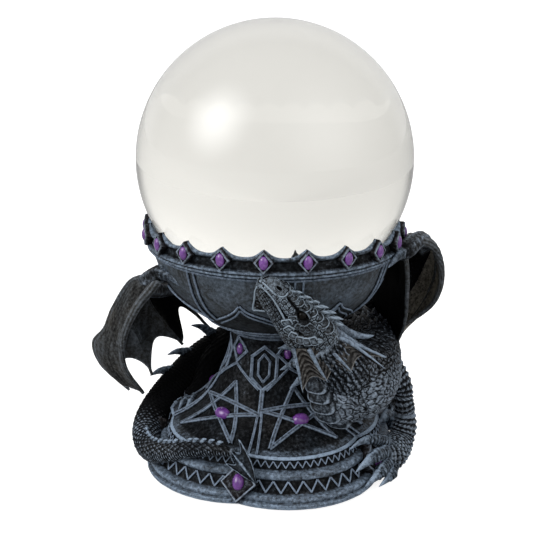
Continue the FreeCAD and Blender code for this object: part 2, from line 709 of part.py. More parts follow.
LEFT_ARM = [(16.0, 45.5, 55.0, 6.4), (3.0, 50.0, 61.0, 5.0), (-14.0, 50.5, 62.5, 4.4),
            (-30.0, 44.0, 62.5, 4.2), (-42.5, 30.0, 64.5, 3.8), (-50.5, 10.0, 69.5, 3.5),
            (-51.5, -7.0, 77.5, 3.4), (-44.5, -18.5, 85.0, 3.6)]
RIGHT_ARM = [(42.0, 22.0, 55.0, 6.0), (55.0, 27.0, 67.0, 4.8), (61.5, 23.0, 81.0, 4.0),
             (61.5, 8.0, 91.5, 3.6), (57.5, -5.0, 96.0, 3.4), (51.5, -15.0, 94.5, 3.6)]
WING_THUMBS = [([(-44.0, -20.0, 85.5), (-39.0, -24.5, 84.5), (-33.5, -29.0, 82.0)], 2.4),
               ([(51.0, -16.0, 94.5), (48.0, -21.5, 93.5), (44.0, -26.5, 90.5)], 2.4)]


def dragon():
    save("dragon_torso", tube(TORSO))
    save("dragon_neck", tube(NECK))
    save("dragon_tail", tube(TAIL))
    save("tail_barb", tail_barb())
    save("dragon_skull", head_loft(SKULL))
    save("dragon_jaw", head_loft(JAW))
    save("dragon_eyes", dragon_eyes())
    save("dragon_horns", dragon_horns())
    save("crest_spikes", crest_spikes())
    save("frill_spines", frill_spines())
    save("frill_membranes", frill_membranes())
    save("belly_scutes", belly_scutes())
    save("back_spines", back_spines())
    save("left_wing_arm", tube(LEFT_ARM))
    save("right_wing_arm", tube(RIGHT_ARM))
    save("wing_thumbs", claws(WING_THUMBS))
    save("left_wing_fingers", wing_fingers(LEFT_WRIST, LEFT_FINGERS, 2.4))
    save("right_wing_fingers", wing_fingers(RIGHT_WRIST, RIGHT_FINGERS, 2.2))
    save("left_wing_membrane", wing_membrane(LEFT_WRIST, LEFT_FINGERS, LEFT_SCALLOPS, (-45, 5, 50)))
    save("right_wing_membrane", wing_membrane(RIGHT_WRIST, RIGHT_FINGERS, RIGHT_SCALLOPS, (60, -5, 72)))
    save("outer_foreleg", tube(OUTER_FORELEG))
    save("inner_foreleg", tube(INNER_FORELEG))
    save("outer_hind_leg", tube(OUTER_HIND_LEG))
    save("inner_hind_leg", tube(INNER_HIND_LEG))
    save("outer_fore_claws", claws(OUTER_FORE_CLAWS))
    save("inner_fore_claws", claws(INNER_FORE_CLAWS))
    save("outer_hind_claws", claws(OUTER_HIND_CLAWS))
    save("inner_hind_claws", claws(INNER_HIND_CLAWS))


def stand():
    bell = bell_skin(0)
    relief = bell_skin(RELIEF).cut(bell)
    save("base_felt", base_felt())
    save("plinth", plinth())
    save("lower_zigzag_band", zigzag_band(LOWER_BAND, 9))
    save("upper_zigzag_band", zigzag_band(UPPER_BAND, 15))
    save("diamond_plates", diamond_plates())
    save("plate_cabochons", plate_cabochons())
    save("pedestal_bell", bell)
    save("bell_straps", bell_straps(relief))
    save("pentagram_stars", pentagram_stars(relief))
    save("star_cabochons", star_cabochons())
    save("neck_kites", neck_kites(relief))
    save("neck_cabochons", neck_cabochons())
    save("shield_frames", shield_frames(relief))
    save("cup_bowl", cup_bowl())
    save("cup_tracery", cup_tracery())
    save("rim_collar", rim_collar())
    save("rim_studs", rim_studs())
    save("rim_cabochons", rim_cabochons())


os.makedirs("parts", exist_ok=True)
save("crystal_ball", crystal_ball())
stand()
dragon()
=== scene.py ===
# Looks of a clear glass ball on a cast dragon chalice stand.
# Lengths below are millimetres; MM turns them into scene metres. -Y is the front, +Z is up.
import bpy
import math
import numpy as np
from mathutils import Matrix, Vector


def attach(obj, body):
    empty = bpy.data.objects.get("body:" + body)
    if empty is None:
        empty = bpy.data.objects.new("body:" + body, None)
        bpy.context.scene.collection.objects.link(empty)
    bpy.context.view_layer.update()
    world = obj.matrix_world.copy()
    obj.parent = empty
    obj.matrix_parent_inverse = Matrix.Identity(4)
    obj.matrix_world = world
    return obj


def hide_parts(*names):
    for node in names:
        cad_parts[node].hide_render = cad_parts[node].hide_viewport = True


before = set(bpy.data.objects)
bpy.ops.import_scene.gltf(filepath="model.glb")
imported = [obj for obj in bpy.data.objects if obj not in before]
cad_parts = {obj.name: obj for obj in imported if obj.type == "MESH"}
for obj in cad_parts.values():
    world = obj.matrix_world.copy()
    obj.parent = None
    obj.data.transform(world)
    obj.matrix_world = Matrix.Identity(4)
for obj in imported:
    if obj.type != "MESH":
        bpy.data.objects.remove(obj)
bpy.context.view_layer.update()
MM = 0.001

# ---- Sizes shared with the CAD ---------------------------------------------------------
BALL_R, BALL_Z, SEAT_GAP = 55.0, 127.4, 0.3
LOBES, LOBE_AZ, LOBE_SPREAD = 5, 21.4, 0.30
LOBE_STEP = 360.0 / LOBES
BASE_R, BELL_FOOT_Z, NECK_TOP_Z = 55.0, 18.2, 59.0
STAR_AZ = [23.6, 94.0, 166.0, 238.0, 316.8]
STAR_TIPS = [(0.0, 38.2), (31.0, 28.8), (18.0, 20.4), (-24.0, 20.0), (-31.0, 30.0)]
SHIELD_AZ = [-10.2, 58.0, 130.0, 202.0, 274.0]
FELT_T, FELT_INSET = 0.8, 3.0
NECK_R = 16.5
COLLAR_R, COLLAR_TOP_Z = 52.0, 100.1
ARCHES, ARCH_AZ, PEAK_LEAN = 7, -40.3, -2.2
ARCH_STEP = 360.0 / ARCHES
STUDS, STUD_AZ, STUD_W, STUD_H, STUD_Z, STUD_T = 20, -4.3, 7.8, 9.0, 98.9, 1.6
STUD_STEP = 360.0 / STUDS
# The rim rises behind each stud: how high, and how many degrees to either side
RIM_RISE, RIM_RISE_AZ = 3.3, 3.4
SEAT_FLOOR_Z = 91.55
BELL = [(BELL_FOOT_Z, 43.8, LOBE_SPREAD), (20.5, 38.4, 0.26), (24.0, 32.2, 0.20), (28.0, 27.6, 0.14),
        (33.0, 23.6, 0.09), (39.0, 20.4, 0.05), (46.0, 17.8, 0.03), (53.0, NECK_R, 0.03),
        (NECK_TOP_Z, 17.6, 0.03)]
TIERS = [(0.8, 54.2), (1.6, 55.0), (2.8, 55.0), (3.1, 53.2), (3.6, 53.8), (4.8, 54.0),
         (5.5, 53.0), (5.6, 50.6), (10.5, 48.4), (10.6, 49.0), (11.4, 49.6), (12.6, 49.4),
         (13.4, 48.4), (13.5, 45.9), (17.2, 44.6), (17.3, 45.2), (18.2, 44.6)]
CUP = [(17.6, NECK_TOP_Z), (22.0, 60.2), (23.4, 61.2), (33.4, 68.0), (40.6, 74.5),
       (44.6, 80.5), (46.4, 85.0), (47.6, 88.6), (48.6, 92.0)]
COLLAR = [(48.6, 91.9), (50.0, 92.0), (50.9, 92.4), (50.9, 93.0), (50.2, 93.4), (51.2, 93.8),
          (51.2, 94.5), (50.4, 94.9), (49.6, 95.4), (49.4, 98.4), (50.2, 98.9), (50.9, 99.3),
          (50.9, 99.8), (50.3, COLLAR_TOP_Z)]
# Rounds of smoothing after which the paint compares each point with its surroundings
FINE_ROUNDS, COARSE_ROUNDS = 2, 10


# ---- Arithmetic ------------------------------------------------------------------------
def vec(*p):
    return np.array(p if len(p) > 1 else p[0], float)


def unit(v):
    v = np.asarray(v, float)
    return v / np.maximum(np.linalg.norm(v, axis=-1, keepdims=True), 1e-12)


def polar(az, r, z):
    a = np.radians(az)
    return np.stack(np.broadcast_arrays(r * np.sin(a), -r * np.cos(a), z), -1).astype(float)


def facing(az, lean=0.0):
    """Side, up and out axes of a wall that faces azimuth az and leans back by lean degrees."""
    a, e = math.radians(az), math.radians(lean)
    side = vec(math.cos(a), math.sin(a), 0)
    out = vec(math.sin(a) * math.cos(e), -math.cos(a) * math.cos(e), math.sin(e))
    up = vec(-math.sin(a) * math.sin(e), math.cos(a) * math.sin(e), math.cos(e))
    return side, up, out


def smoothstep(x, low=0.0, high=1.0):
    t = np.clip((x - low) / (high - low), 0, 1)
    return t * t * (3 - 2 * t)


def hash01(*keys):
    """Repeatable random number from 0 to 1 for whole-number keys."""
    n = np.zeros(np.broadcast(*keys).shape) + 17.0
    for i, k in enumerate(keys):
        n = n * 1.3 + np.asarray(k, float) * (12.9898 + 65.233 * i)
    return np.mod(np.sin(n) * 43758.5453, 1.0)


def noise3(p, scale, seed=0):
    """Smooth value noise from -1 to 1 at points p, features about `scale` across."""
    q = np.asarray(p, float) / scale
    base = np.floor(q)
    f = q - base
    f = f * f * (3 - 2 * f)
    total = np.zeros(q.shape[:-1])
    for corner in range(8):
        c = np.array([(corner >> k) & 1 for k in range(3)], float)
        w = np.prod(np.where(c == 1, f, 1 - f), -1)
        b = base + c
        total += w * hash01(b[..., 0], b[..., 1], b[..., 2], seed)
    return total * 2 - 1


def run_of(points):
    """Distance along a polyline at each of its points."""
    steps = np.linalg.norm(np.diff(np.asarray(points, float)[:, :3], axis=0), axis=1)
    return np.concatenate([[0], np.cumsum(steps)])


def at_index(curve, v):
    """Points of a sampled curve at fractional indices v."""
    idx = np.clip(v.astype(int), 0, len(curve) - 2)
    part = (v - idx)[:, None]
    return curve[idx] * (1 - part) + curve[idx + 1] * part


def circle(count):
    return np.linspace(0, 2 * math.pi, count, endpoint=False)


def resample(points, count):
    """Smooth curve through points (any number of columns), count stations evenly spaced."""
    p = np.asarray(points, float)
    if len(p) == 2:
        t = np.linspace(0, 1, count)[:, None]
        return p[0] * (1 - t) + p[1] * t
    ends = np.vstack([2 * p[0] - p[1], p, 2 * p[-1] - p[-2]])
    fine = []
    for i in range(len(p) - 1):
        a, b, c, d = ends[i:i + 4]
        t = np.linspace(0, 1, 60, endpoint=False)[:, None]
        fine.append(0.5 * (2 * b + (c - a) * t + (2 * a - 5 * b + 4 * c - d) * t ** 2
                           + (3 * b - a - 3 * c + d) * t ** 3))
    fine = np.vstack(fine + [p[-1:]])
    run = run_of(fine)
    want = np.linspace(0, run[-1], count)
    return np.stack([np.interp(want, run, fine[:, k]) for k in range(p.shape[1])], 1)


# ---- Mesh building ---------------------------------------------------------------------
class Sheet:
    """Vertices, faces and a per-vertex paint value that grow piece by piece."""

    def __init__(self):
        self.v, self.f, self.p, self.n = [], [], [], 0

    def add(self, verts, faces, paint=0.0):
        verts = np.asarray(verts, float).reshape(-1, 3)
        self.v.append(verts)
        self.f += [np.asarray(f, int) + self.n for f in faces]
        self.p.append(np.broadcast_to(np.asarray(paint, float).reshape(-1), (len(verts),)))
        self.n += len(verts)

    def grid(self, pts, paint=0.0, wrap=False, caps=(False, False), flip=False):
        """Rows x columns of points; wrap joins the last column to the first. An end is closed by a
        fan, or with "zip" by joining the two halves of the row to each other."""
        pts = np.asarray(pts, float)
        rows, cols = pts.shape[:2]
        ids = np.arange(rows * cols).reshape(rows, cols)
        right = np.roll(ids, -1, 1) if wrap else ids[:, 1:]
        left = ids if wrap else ids[:, :-1]
        quads = np.stack([left[:-1], right[:-1], right[1:], left[1:]], -1).reshape(-1, 4)
        if flip:
            quads = quads[:, ::-1]
        faces = [quads]
        verts = pts.reshape(-1, 3)
        value = np.broadcast_to(np.asarray(paint, float), (rows, cols)).reshape(-1)
        for end, on in zip((0, rows - 1), caps):
            if on == "zip":
                k = np.arange(cols // 2 - 1) + end * cols
                last = cols - 1 + 2 * end * cols - k
                seam = np.stack([k + 1, k, last, last - 1], -1)
                faces.append(seam[:, ::-1] if (end != 0) != flip else seam)
            elif on:
                hub = len(verts)
                verts = np.vstack([verts, pts[end].mean(0)])
                value = np.append(value, value[end * cols:(end + 1) * cols].mean())
                a, b = left[end], right[end]
                tri = np.stack([b, a, np.full_like(a, hub)], -1)
                if (end != 0) != flip:
                    tri = tri[:, ::-1]
                faces.append(tri)
        if wrap and all(caps):
            p = verts - verts.mean(0)
            volume = sum(np.einsum("ij,ij->i", p[f[:, 0]], np.cross(p[f[:, k]], p[f[:, k + 1]])).sum()
                         for f in faces for k in range(1, f.shape[1] - 1))
            if volume < 0:
                faces = [f[:, ::-1] for f in faces]
        self.add(verts, faces, value)


def paint_from_shape(co, nrm, edges):
    """How far each vertex stands out of its smoothed surroundings, roughly -1 to 1."""
    count = np.bincount(edges.ravel(), minlength=len(co)).astype(float)
    count = np.maximum(count, 1)[:, None]
    span = np.linalg.norm(co[edges[:, 0]] - co[edges[:, 1]], axis=1).mean()
    p = co.copy()
    result = np.zeros(len(co))
    for rounds in range(1, COARSE_ROUNDS + 1):
        total = np.empty_like(p)
        for k in range(3):
            total[:, k] = (np.bincount(edges[:, 0], p[edges[:, 1], k], len(p))
                           + np.bincount(edges[:, 1], p[edges[:, 0], k], len(p)))
        p = 0.35 * p + 0.65 * total / count
        if rounds in (FINE_ROUNDS, COARSE_ROUNDS):
            result += 0.5 * ((co - p) * nrm).sum(1) / (span * 0.16 * math.sqrt(rounds))
    return np.clip(result, -1, 1)


def build(name, sheet, material, node=None, body="stand", shape_paint=0.0, smooth=True):
    """Turns a Sheet into an object, with its paint stored as the attribute "raised"."""
    co = np.vstack(sheet.v)
    paint = np.concatenate(sheet.p).astype(float)
    mesh = bpy.data.meshes.new(name)
    flat = [f for f in sheet.f if len(f)]
    loops = np.concatenate([f.ravel() for f in flat])
    sizes = np.concatenate([np.full(len(f), f.shape[1]) for f in flat])
    starts = np.concatenate([[0], np.cumsum(sizes)[:-1]])
    mesh.vertices.add(len(co))
    mesh.vertices.foreach_set("co", (co * MM).ravel())
    mesh.loops.add(len(loops))
    mesh.loops.foreach_set("vertex_index", loops.astype(np.int32))
    mesh.polygons.add(len(sizes))
    mesh.polygons.foreach_set("loop_start", starts.astype(np.int32))
    mesh.update(calc_edges=True)
    mesh.validate()
    mesh.polygons.foreach_set("use_smooth", np.full(len(mesh.polygons), smooth))
    if shape_paint:
        nrm = np.empty(len(mesh.vertices) * 3)
        mesh.vertices.foreach_get("normal", nrm)
        edges = np.empty(len(mesh.edges) * 2, np.int32)
        mesh.edges.foreach_get("vertices", edges)
        found = paint_from_shape(co, nrm.reshape(-1, 3), edges.reshape(-1, 2))
        paint = paint + shape_paint * found
    layer = mesh.attributes.new("raised", "FLOAT", "POINT")
    layer.data.foreach_set("value", paint.astype(np.float32))
    mesh.materials.append(material)
    obj = bpy.data.objects.new(name, mesh)
    bpy.context.scene.collection.objects.link(obj)
    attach(obj, body)
    if node:
        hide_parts(node)


def frames_along(path, up):
    """Unit axes across a path: side, and lift, which is kept near `up`."""
    ahead = unit(np.gradient(path, axis=0))
    up = np.broadcast_to(np.asarray(up, float), path.shape)
    side = unit(np.cross(ahead, up))
    return side, np.cross(side, ahead)


def tube(sheet, route, around, step, bump, up=(0, 0, 1)):
    """Limb through (x, y, z, radius) stations. bump(s, angle, radius, points) gives what is added to
    the radius, and the paint. Angle 0 lies on the `up` side and grows towards the side axis; s is in mm."""
    count = max(4, int(run_of(route)[-1] / step))
    r = resample(route, count)
    path, radius = r[:, :3], r[:, 3]
    side, lift = frames_along(path, up)
    run, angle = np.meshgrid(run_of(path), circle(around), indexing="ij")
    shape = lift[:, None] * np.cos(angle)[..., None] + side[:, None] * np.sin(angle)[..., None]
    pts = path[:, None] + shape * radius[:, None, None]
    h, paint = bump(run, angle, radius[:, None] + 0 * angle, pts)
    sheet.grid(pts + unit(shape) * h[..., None], paint, wrap=True, caps=(True, True))


def spike(sheet, points, radius, around, rows, paint, power=0.8, flat=1.0, up=(0, 0, 1), ridges=0.0):
    """Tapering curved horn or claw; paint runs from root to tip."""
    r = resample(points, rows)
    t = np.linspace(0, 1, rows)
    rad = radius * np.power(1 - t, power) + 0.06
    rad = rad * (1 + ridges * np.sin(t * 40))
    side, lift = frames_along(r, up)
    angle = circle(around)
    c, s = np.cos(angle)[None, :, None], np.sin(angle)[None, :, None]
    pts = r[:, None] + (lift[:, None] * c + side[:, None] * s * flat) * rad[:, None, None]
    value = paint[0] + (paint[1] - paint[0]) * t[:, None] ** 1.5 + 0.25 * np.maximum(np.cos(angle), 0)[None]
    sheet.grid(pts, value, wrap=True, caps=(True, True))


def ribbon(sheet, path, normals, width, height, closed=False, edge=0.85, top=0.3, taper=(1, 1)):
    """Raised strap with bevelled edges lying along a path on a surface."""
    path = np.asarray(path, float)
    normals = unit(np.broadcast_to(normals, path.shape))
    if closed:
        ahead = unit(np.roll(path, -1, 0) - np.roll(path, 1, 0))
    else:
        ahead = unit(np.gradient(path, axis=0))
    side = unit(np.cross(ahead, normals))
    half = width / 2
    bevel = min(0.3, half * 0.45)
    flank = [(half + 0.1, -0.6, -0.7), (half, height * 0.15, -0.5), (half - bevel * 0.35, height * 0.8, edge),
             (half - bevel, height, edge)]
    section = [(-x, y, p) for x, y, p in flank] + [(0.0, height * 1.02, top)] + flank[::-1]
    scale = np.linspace(taper[0], taper[1], len(path))[:, None]
    pts = np.stack([path + side * x * scale + normals * y for x, y, p in section], 1)
    value = np.broadcast_to(np.array([p for x, y, p in section])[None], pts.shape[:2]).copy()
    if closed:
        pts = np.concatenate([pts, pts[:1]], 0)
        value = np.concatenate([value, value[:1]], 0)
    sheet.grid(pts, value)


def straight(p, q, step):
    count = max(3, int(np.linalg.norm(np.subtract(q, p)) / step))
    t = np.linspace(0, 1, count)[:, None]
    return vec(p) * (1 - t) + vec(q) * t


def nested(sheet, centre, side, up, out, corners, rings, steps=4):
    """Plate built from shrinking copies of a polygon: rings of (inset in mm, height, paint)."""
    c = np.asarray(corners, float)
    count = len(c)
    n = []
    for i in range(count):
        a, b, d = c[i - 1], c[i], c[(i + 1) % count]
        e0, e1 = unit(b - a), unit(d - b)
        m0, m1 = vec(-e0[1], e0[0]), vec(-e1[1], e1[0])
        m = unit(m0 + m1)
        n.append(m / max(np.dot(m, m0), 0.35))
    turn = np.cross(c[1] - c[0], c[2] - c[1]) > 0
    n = np.array(n) * (1 if turn else -1)
    rows, value = [], []
    for inset, height, paint in rings:
        poly = c + n * inset
        sides = zip(poly, np.roll(poly, -1, 0))
        row = np.array([a + (b - a) * k / steps for a, b in sides for k in range(steps)])
        rows.append(centre + side * row[:, :1] + up * row[:, 1:] + out * height)
        value.append(np.full(len(row), paint))
    sheet.grid(np.array(rows), np.array(value), wrap=True, caps=(True, True), flip=not turn)


def dome(sheet, centre, side, up, out, a, b, h, rows=9, cols=24, sink=0.3):
    """Cabochon standing h above its centre point."""
    t = np.linspace(0, math.pi / 2, rows)
    c, s = np.cos(circle(cols))[:, None], np.sin(circle(cols))[:, None]
    pts = [centre + side * (a * c) + up * (b * s) - out * sink]
    for k in t[:-1]:
        reach, rise = math.cos(k), math.sin(k)
        pts.append(centre + side * (a * reach * c) + up * (b * reach * s) + out * (h * rise))
    pts.append(centre + out * h + 0.02 * (side * c + up * s))
    sheet.grid(np.array(pts), 0.0, wrap=True, caps=(True, True))


# ---- Surfaces of the stand ---------------------------------------------------------------
def off_middle(az, first, step):
    """Signed turn from the nearest of the azimuths that start at `first` and repeat every step."""
    return np.mod(az - first + step / 2, step) - step / 2


def lobed(r, spread, az):
    """Radius of the five-lobed outline at azimuth az."""
    a = r * spread
    b = r - a
    off = np.radians(off_middle(az, LOBE_AZ, LOBE_STEP))
    return a * np.cos(off) + np.sqrt(np.maximum(b ** 2 - (a * np.sin(off)) ** 2, 1e-9))


BELL_FINE = resample([(z, r, s * 100) for z, r, s in BELL], 400)


def bell_radius(z):
    return np.interp(z, BELL_FINE[:, 0], BELL_FINE[:, 1])


def bell_reach(az, z):
    return lobed(bell_radius(z), np.interp(z, BELL_FINE[:, 0], BELL_FINE[:, 2]) / 100, az)


def bell_wall(az, z):
    return polar(az, bell_reach(az, z), z)


CUP_FINE = resample([(r, z, 0) for r, z in CUP[1:]], 300)


def cup_wall(az, z):
    return polar(az, np.interp(z, CUP_FINE[:, 1], CUP_FINE[:, 0]), z)


def seat_radius(z):
    """Radius of the ball's seat at height z."""
    return np.sqrt(np.maximum((BALL_R + SEAT_GAP) ** 2 - (BALL_Z - z) ** 2, 1))


def wall_normal(wall, az, z):
    d = 0.3
    da = wall(az + d, z) - wall(az - d, z)
    dz = wall(az, z + d) - wall(az, z - d)
    return unit(np.cross(da, dz))


# ---- Materials ---------------------------------------------------------------------------
def new_material(name):
    mat = bpy.data.materials.new(name)
    mat.use_nodes = True
    nt = mat.node_tree
    return mat, nt, nt.nodes["Principled BSDF"]


def set_inputs(node, **values):
    """Sets sockets by name, with "_" for each space."""
    for name, x in values.items():
        node.inputs[name.replace("_", " ")].default_value = x


def noise_node(nt, scale, detail, seed):
    tex = nt.nodes.new("ShaderNodeTexNoise")
    tex.noise_dimensions = "4D"
    set_inputs(tex, Scale=scale, Detail=detail, W=seed)
    nt.links.new(nt.nodes.new("ShaderNodeTexCoord").outputs["Object"], tex.inputs["Vector"])
    return tex.outputs["Fac"]


def maths(nt, op, a, b, c=None):
    node = nt.nodes.new("ShaderNodeMath")
    node.operation = op
    for i, x in enumerate((a, b, c)):
        if x is None:
            continue
        if isinstance(x, (int, float)):
            node.inputs[i].default_value = x
        else:
            nt.links.new(x, node.inputs[i])
    return node.outputs[0]


def ramp(nt, fac, stops):
    node = nt.nodes.new("ShaderNodeValToRGB")
    cr = node.color_ramp
    while len(cr.elements) < len(stops):
        cr.elements.new(0.5)
    for el, (pos, col) in zip(cr.elements, stops):
        el.position = pos
        el.color = (*col, 1)
    nt.links.new(fac, node.inputs["Fac"])
    return node.outputs["Color"]


def mix(nt, fac, a, b):
    node = nt.nodes.new("ShaderNodeMix")
    node.data_type = "RGBA"
    for socket, x in ((node.inputs[0], fac), (node.inputs[6], a), (node.inputs[7], b)):
        if isinstance(x, (int, float)):
            socket.default_value = x
        elif isinstance(x, tuple):
            socket.default_value = (*x, 1)
        else:
            nt.links.new(x, socket)
    return node.outputs[2]


BLACK = (0.0025, 0.0026, 0.003)


def roughen(nt, bsdf, height, distance, strength=1.0):
    bump = nt.nodes.new("ShaderNodeBump")
    set_inputs(bump, Strength=strength, Distance=distance)
    nt.links.new(height, bump.inputs["Height"])
    nt.links.new(bump.outputs["Normal"], bsdf.inputs["Normal"])


def resin(name, cool, warm, high, warmth, speck, rough=0.6, gain=1.0):
    """Painted cast resin: black in the grooves, stained in between, dry-brushed on what stands out."""
    mat, nt, bsdf = new_material(name)
    attr = nt.nodes.new("ShaderNodeAttribute")
    attr.attribute_name = "raised"
    patch = noise_node(nt, 60.0, 3.0, 1.0)
    brush = noise_node(nt, 760.0, 7.0, 2.0)
    grain = noise_node(nt, 2600.0, 3.0, 3.0)
    level = maths(nt, "MULTIPLY_ADD", attr.outputs["Fac"], gain * 0.5, 0.5)
    level = maths(nt, "MULTIPLY_ADD", maths(nt, "SUBTRACT", brush, 0.5), speck, level)
    level = maths(nt, "MULTIPLY_ADD", maths(nt, "SUBTRACT", grain, 0.5), speck * 0.55, level)

    def shades(stain):
        thin, full = (tuple(share * s for s in stain) for share in (0.22, 0.85))
        half = tuple(0.55 * s + 0.45 * h * 0.55 for s, h in zip(stain, high))
        return ramp(nt, level, [(0.10, BLACK), (0.34, thin), (0.50, full), (0.66, half), (0.96, high)])

    share = ramp(nt, patch, [(0.5 - 0.3 * warmth, (0, 0, 0)), (0.95 - 0.35 * warmth, (1, 1, 1))])
    nt.links.new(mix(nt, share, shades(cool), shades(warm)), bsdf.inputs["Base Color"])
    nt.links.new(maths(nt, "MULTIPLY_ADD", brush, 0.25, rough - 0.12), bsdf.inputs["Roughness"])
    shine = maths(nt, "MAXIMUM", maths(nt, "MULTIPLY_ADD", level, 0.36, -0.06), 0.02)
    nt.links.new(shine, bsdf.inputs["Specular IOR Level"])
    roughen(nt, bsdf, maths(nt, "MULTIPLY_ADD", grain, 0.5, brush), 0.00012, 0.35)
    return mat


HIGH = (0.22, 0.29, 0.385)
STAND = resin("stand_resin_paint", (0.0165, 0.0215, 0.028), (0.026, 0.0245, 0.024), HIGH, 0.4, 0.9)
PANEL = resin("panel_paint", (0.032, 0.038, 0.044), (0.040, 0.041, 0.041), HIGH, 0.35, 0.5)
BARS = resin("relief_paint", (0.020, 0.027, 0.037), (0.030, 0.032, 0.036), (0.160, 0.208, 0.28), 0.3, 1.0)
PLATE = resin("plate_paint", (0.014, 0.016, 0.021), (0.034, 0.030, 0.031), (0.18, 0.22, 0.28), 0.8, 1.3)
HIDE = resin("hide_paint", (0.015, 0.020, 0.027), (0.027, 0.025, 0.023), (0.19, 0.235, 0.295), 0.4, 1.1,
             gain=1.2)
HEADP = resin("head_paint", (0.020, 0.025, 0.031), (0.034, 0.031, 0.029), (0.21, 0.265, 0.325), 0.5, 1.0,
              gain=1.15)
SKIN = resin("wing_paint", (0.027, 0.032, 0.037), (0.042, 0.038, 0.032), (0.15, 0.175, 0.205), 0.65, 0.8)
# Painted light: a lighter copy of the wing paint for the right wing's web, whose inside lies in shade
PAINTED_LIGHT_WING = resin("wing_painted_light_paint", (0.050, 0.048, 0.042), (0.075, 0.066, 0.052), (0.32, 0.30, 0.26), 0.7,
               1.2)
WEB = resin("web_paint", (0.017, 0.018, 0.020), (0.032, 0.027, 0.023), (0.17, 0.17, 0.165), 0.8, 0.9)
CLAW = resin("claw_paint", (0.015, 0.021, 0.029), (0.024, 0.026, 0.029), (0.20, 0.26, 0.34), 0.25, 1.0,
             rough=0.5)


def clouded(name, scale, detail, seed, stops, **inputs):
    """Material coloured by one noise. Returns it with its tree, its shader and the noise."""
    mat, nt, bsdf = new_material(name)
    cloud = noise_node(nt, scale, detail, seed)
    nt.links.new(ramp(nt, cloud, stops), bsdf.inputs["Base Color"])
    set_inputs(bsdf, **inputs)
    return mat, nt, bsdf, cloud


GEM, nodes, shader, veil = clouded("purple_cabochon", 420.0, 3.0, 5.0, [
    (0.25, (0.060, 0.016, 0.115)), (0.5, (0.125, 0.035, 0.215)), (0.75, (0.20, 0.075, 0.31))],
    Coat_Weight=0.5, Coat_Roughness=0.12)
nodes.links.new(maths(nodes, "MULTIPLY_ADD", veil, 0.2, 0.16), shader.inputs["Roughness"])
GLASS = clouded("clear_ball_glass", 9.0, 2.0, 7.0, [(0.3, (0.83, 0.815, 0.765)), (0.7, (0.85, 0.838, 0.79))],
                Transmission_Weight=1.0, Roughness=0.0, IOR=1.5)[0]
EYE = clouded("black_eye_gloss", 1500.0, 2.0, 9.0, [
    (0.4, (0.001, 0.001, 0.001)), (0.8, (0.006, 0.004, 0.002))],
              Roughness=0.06, Specular_IOR_Level=0.10)[0]
FELT, nodes, shader, fuzz = clouded("black_felt", 1800.0, 5.0, 11.0, [
    (0.3, (0.004, 0.004, 0.005)), (0.7, (0.03, 0.03, 0.033))], Roughness=0.95)
roughen(nodes, shader, fuzz, 0.0003)


# ---- Ball ----------------------------------------------------------------------------------
def make_ball():
    sheet = Sheet()
    around, down = 256, 128
    lat = np.linspace(0.0, math.pi, down + 2)[1:-1, None]
    lon = circle(around)
    flat = BALL_R * np.sin(lat)
    pts = np.stack([flat * np.cos(lon), flat * np.sin(lon), BALL_Z + BALL_R * np.cos(lat) + 0 * lon], -1)
    sheet.grid(pts, 0.0, wrap=True, flip=True)
    top = np.arange(around)
    low, pole = top + (down - 1) * around, np.full(around, sheet.n)
    fans = [np.stack([top, np.roll(top, -1), pole], -1), np.stack([np.roll(low, -1), low, pole + 1], -1)]
    sheet.add([[0, 0, BALL_Z + BALL_R], [0, 0, BALL_Z - BALL_R]], [f - sheet.n for f in fans])
    build("glass_ball", sheet, GLASS, "crystal_ball", body="ball")


# ---- Plinth, pedestal, cup, collar -----------------------------------------------------------
def push_out(pts, height):
    """Moves points outwards from the upright axis."""
    return pts + unit(pts * (1, 1, 0)) * height[..., None]


def turned_rows(profile, step, soften=2):
    p = np.array(profile, float)
    run = run_of(p)
    want = np.linspace(0, run[-1], max(4, int(run[-1] / step)))
    q = np.stack([np.interp(want, run, p[:, 0]), np.interp(want, run, p[:, 1])], 1)
    for _ in range(soften):
        q[1:-1] = 0.25 * q[:-2] + 0.5 * q[1:-1] + 0.25 * q[2:]
    return q


def make_felt():
    sheet = Sheet()
    az = np.linspace(0, 360, 400, endpoint=False)
    reach = lobed(BASE_R - FELT_INSET, LOBE_SPREAD, az)
    section = [(0.25, 0.0), (0.6, 0.0), (0.9, 0.0), (0.99, 0.0), (1.0, 0.15), (1.0, FELT_T - 0.1),
               (0.99, FELT_T), (0.5, FELT_T)]
    pts = np.array([polar(az, reach * scale, z) for scale, z in section])
    pts[4:6, :, :2] *= (1 + 0.0015 * noise3(pts[4:6], 0.7))[..., None]
    sheet.grid(pts, 0.0, wrap=True, caps=(True, True), flip=True)
    build("felt_pad", sheet, FELT, "base_felt")


def make_plinth():
    sheet = Sheet()
    az = np.linspace(0, 360, 840, endpoint=False)
    rows = turned_rows(TIERS, 0.30)
    z, r = rows[:, :1], rows[:, 1:]
    pts = polar(az, lobed(r, LOBE_SPREAD, az), z)
    pts = push_out(pts, noise3(pts, 3.5, 1) * 0.10 + noise3(pts * (1, 1, 2.5), 0.9, 2) * 0.06)
    low = smoothstep(z, 5.5, 6.0) * (1 - smoothstep(z, 10.0, 10.6))
    high = smoothstep(z, 13.5, 13.9) * (1 - smoothstep(z, 16.9, 17.3))
    paint = 0.34 - 0.66 * np.maximum(low, high) + 0.10 * noise3(pts, 6.0, 5)
    paint = paint - 0.35 * smoothstep(np.abs(off_middle(az, LOBE_AZ, LOBE_STEP)), 33.0, 36.0)
    sheet.grid(pts, paint, wrap=True, caps=(True, True))
    build("stepped_plinth", sheet, STAND, "plinth", shape_paint=0.55)


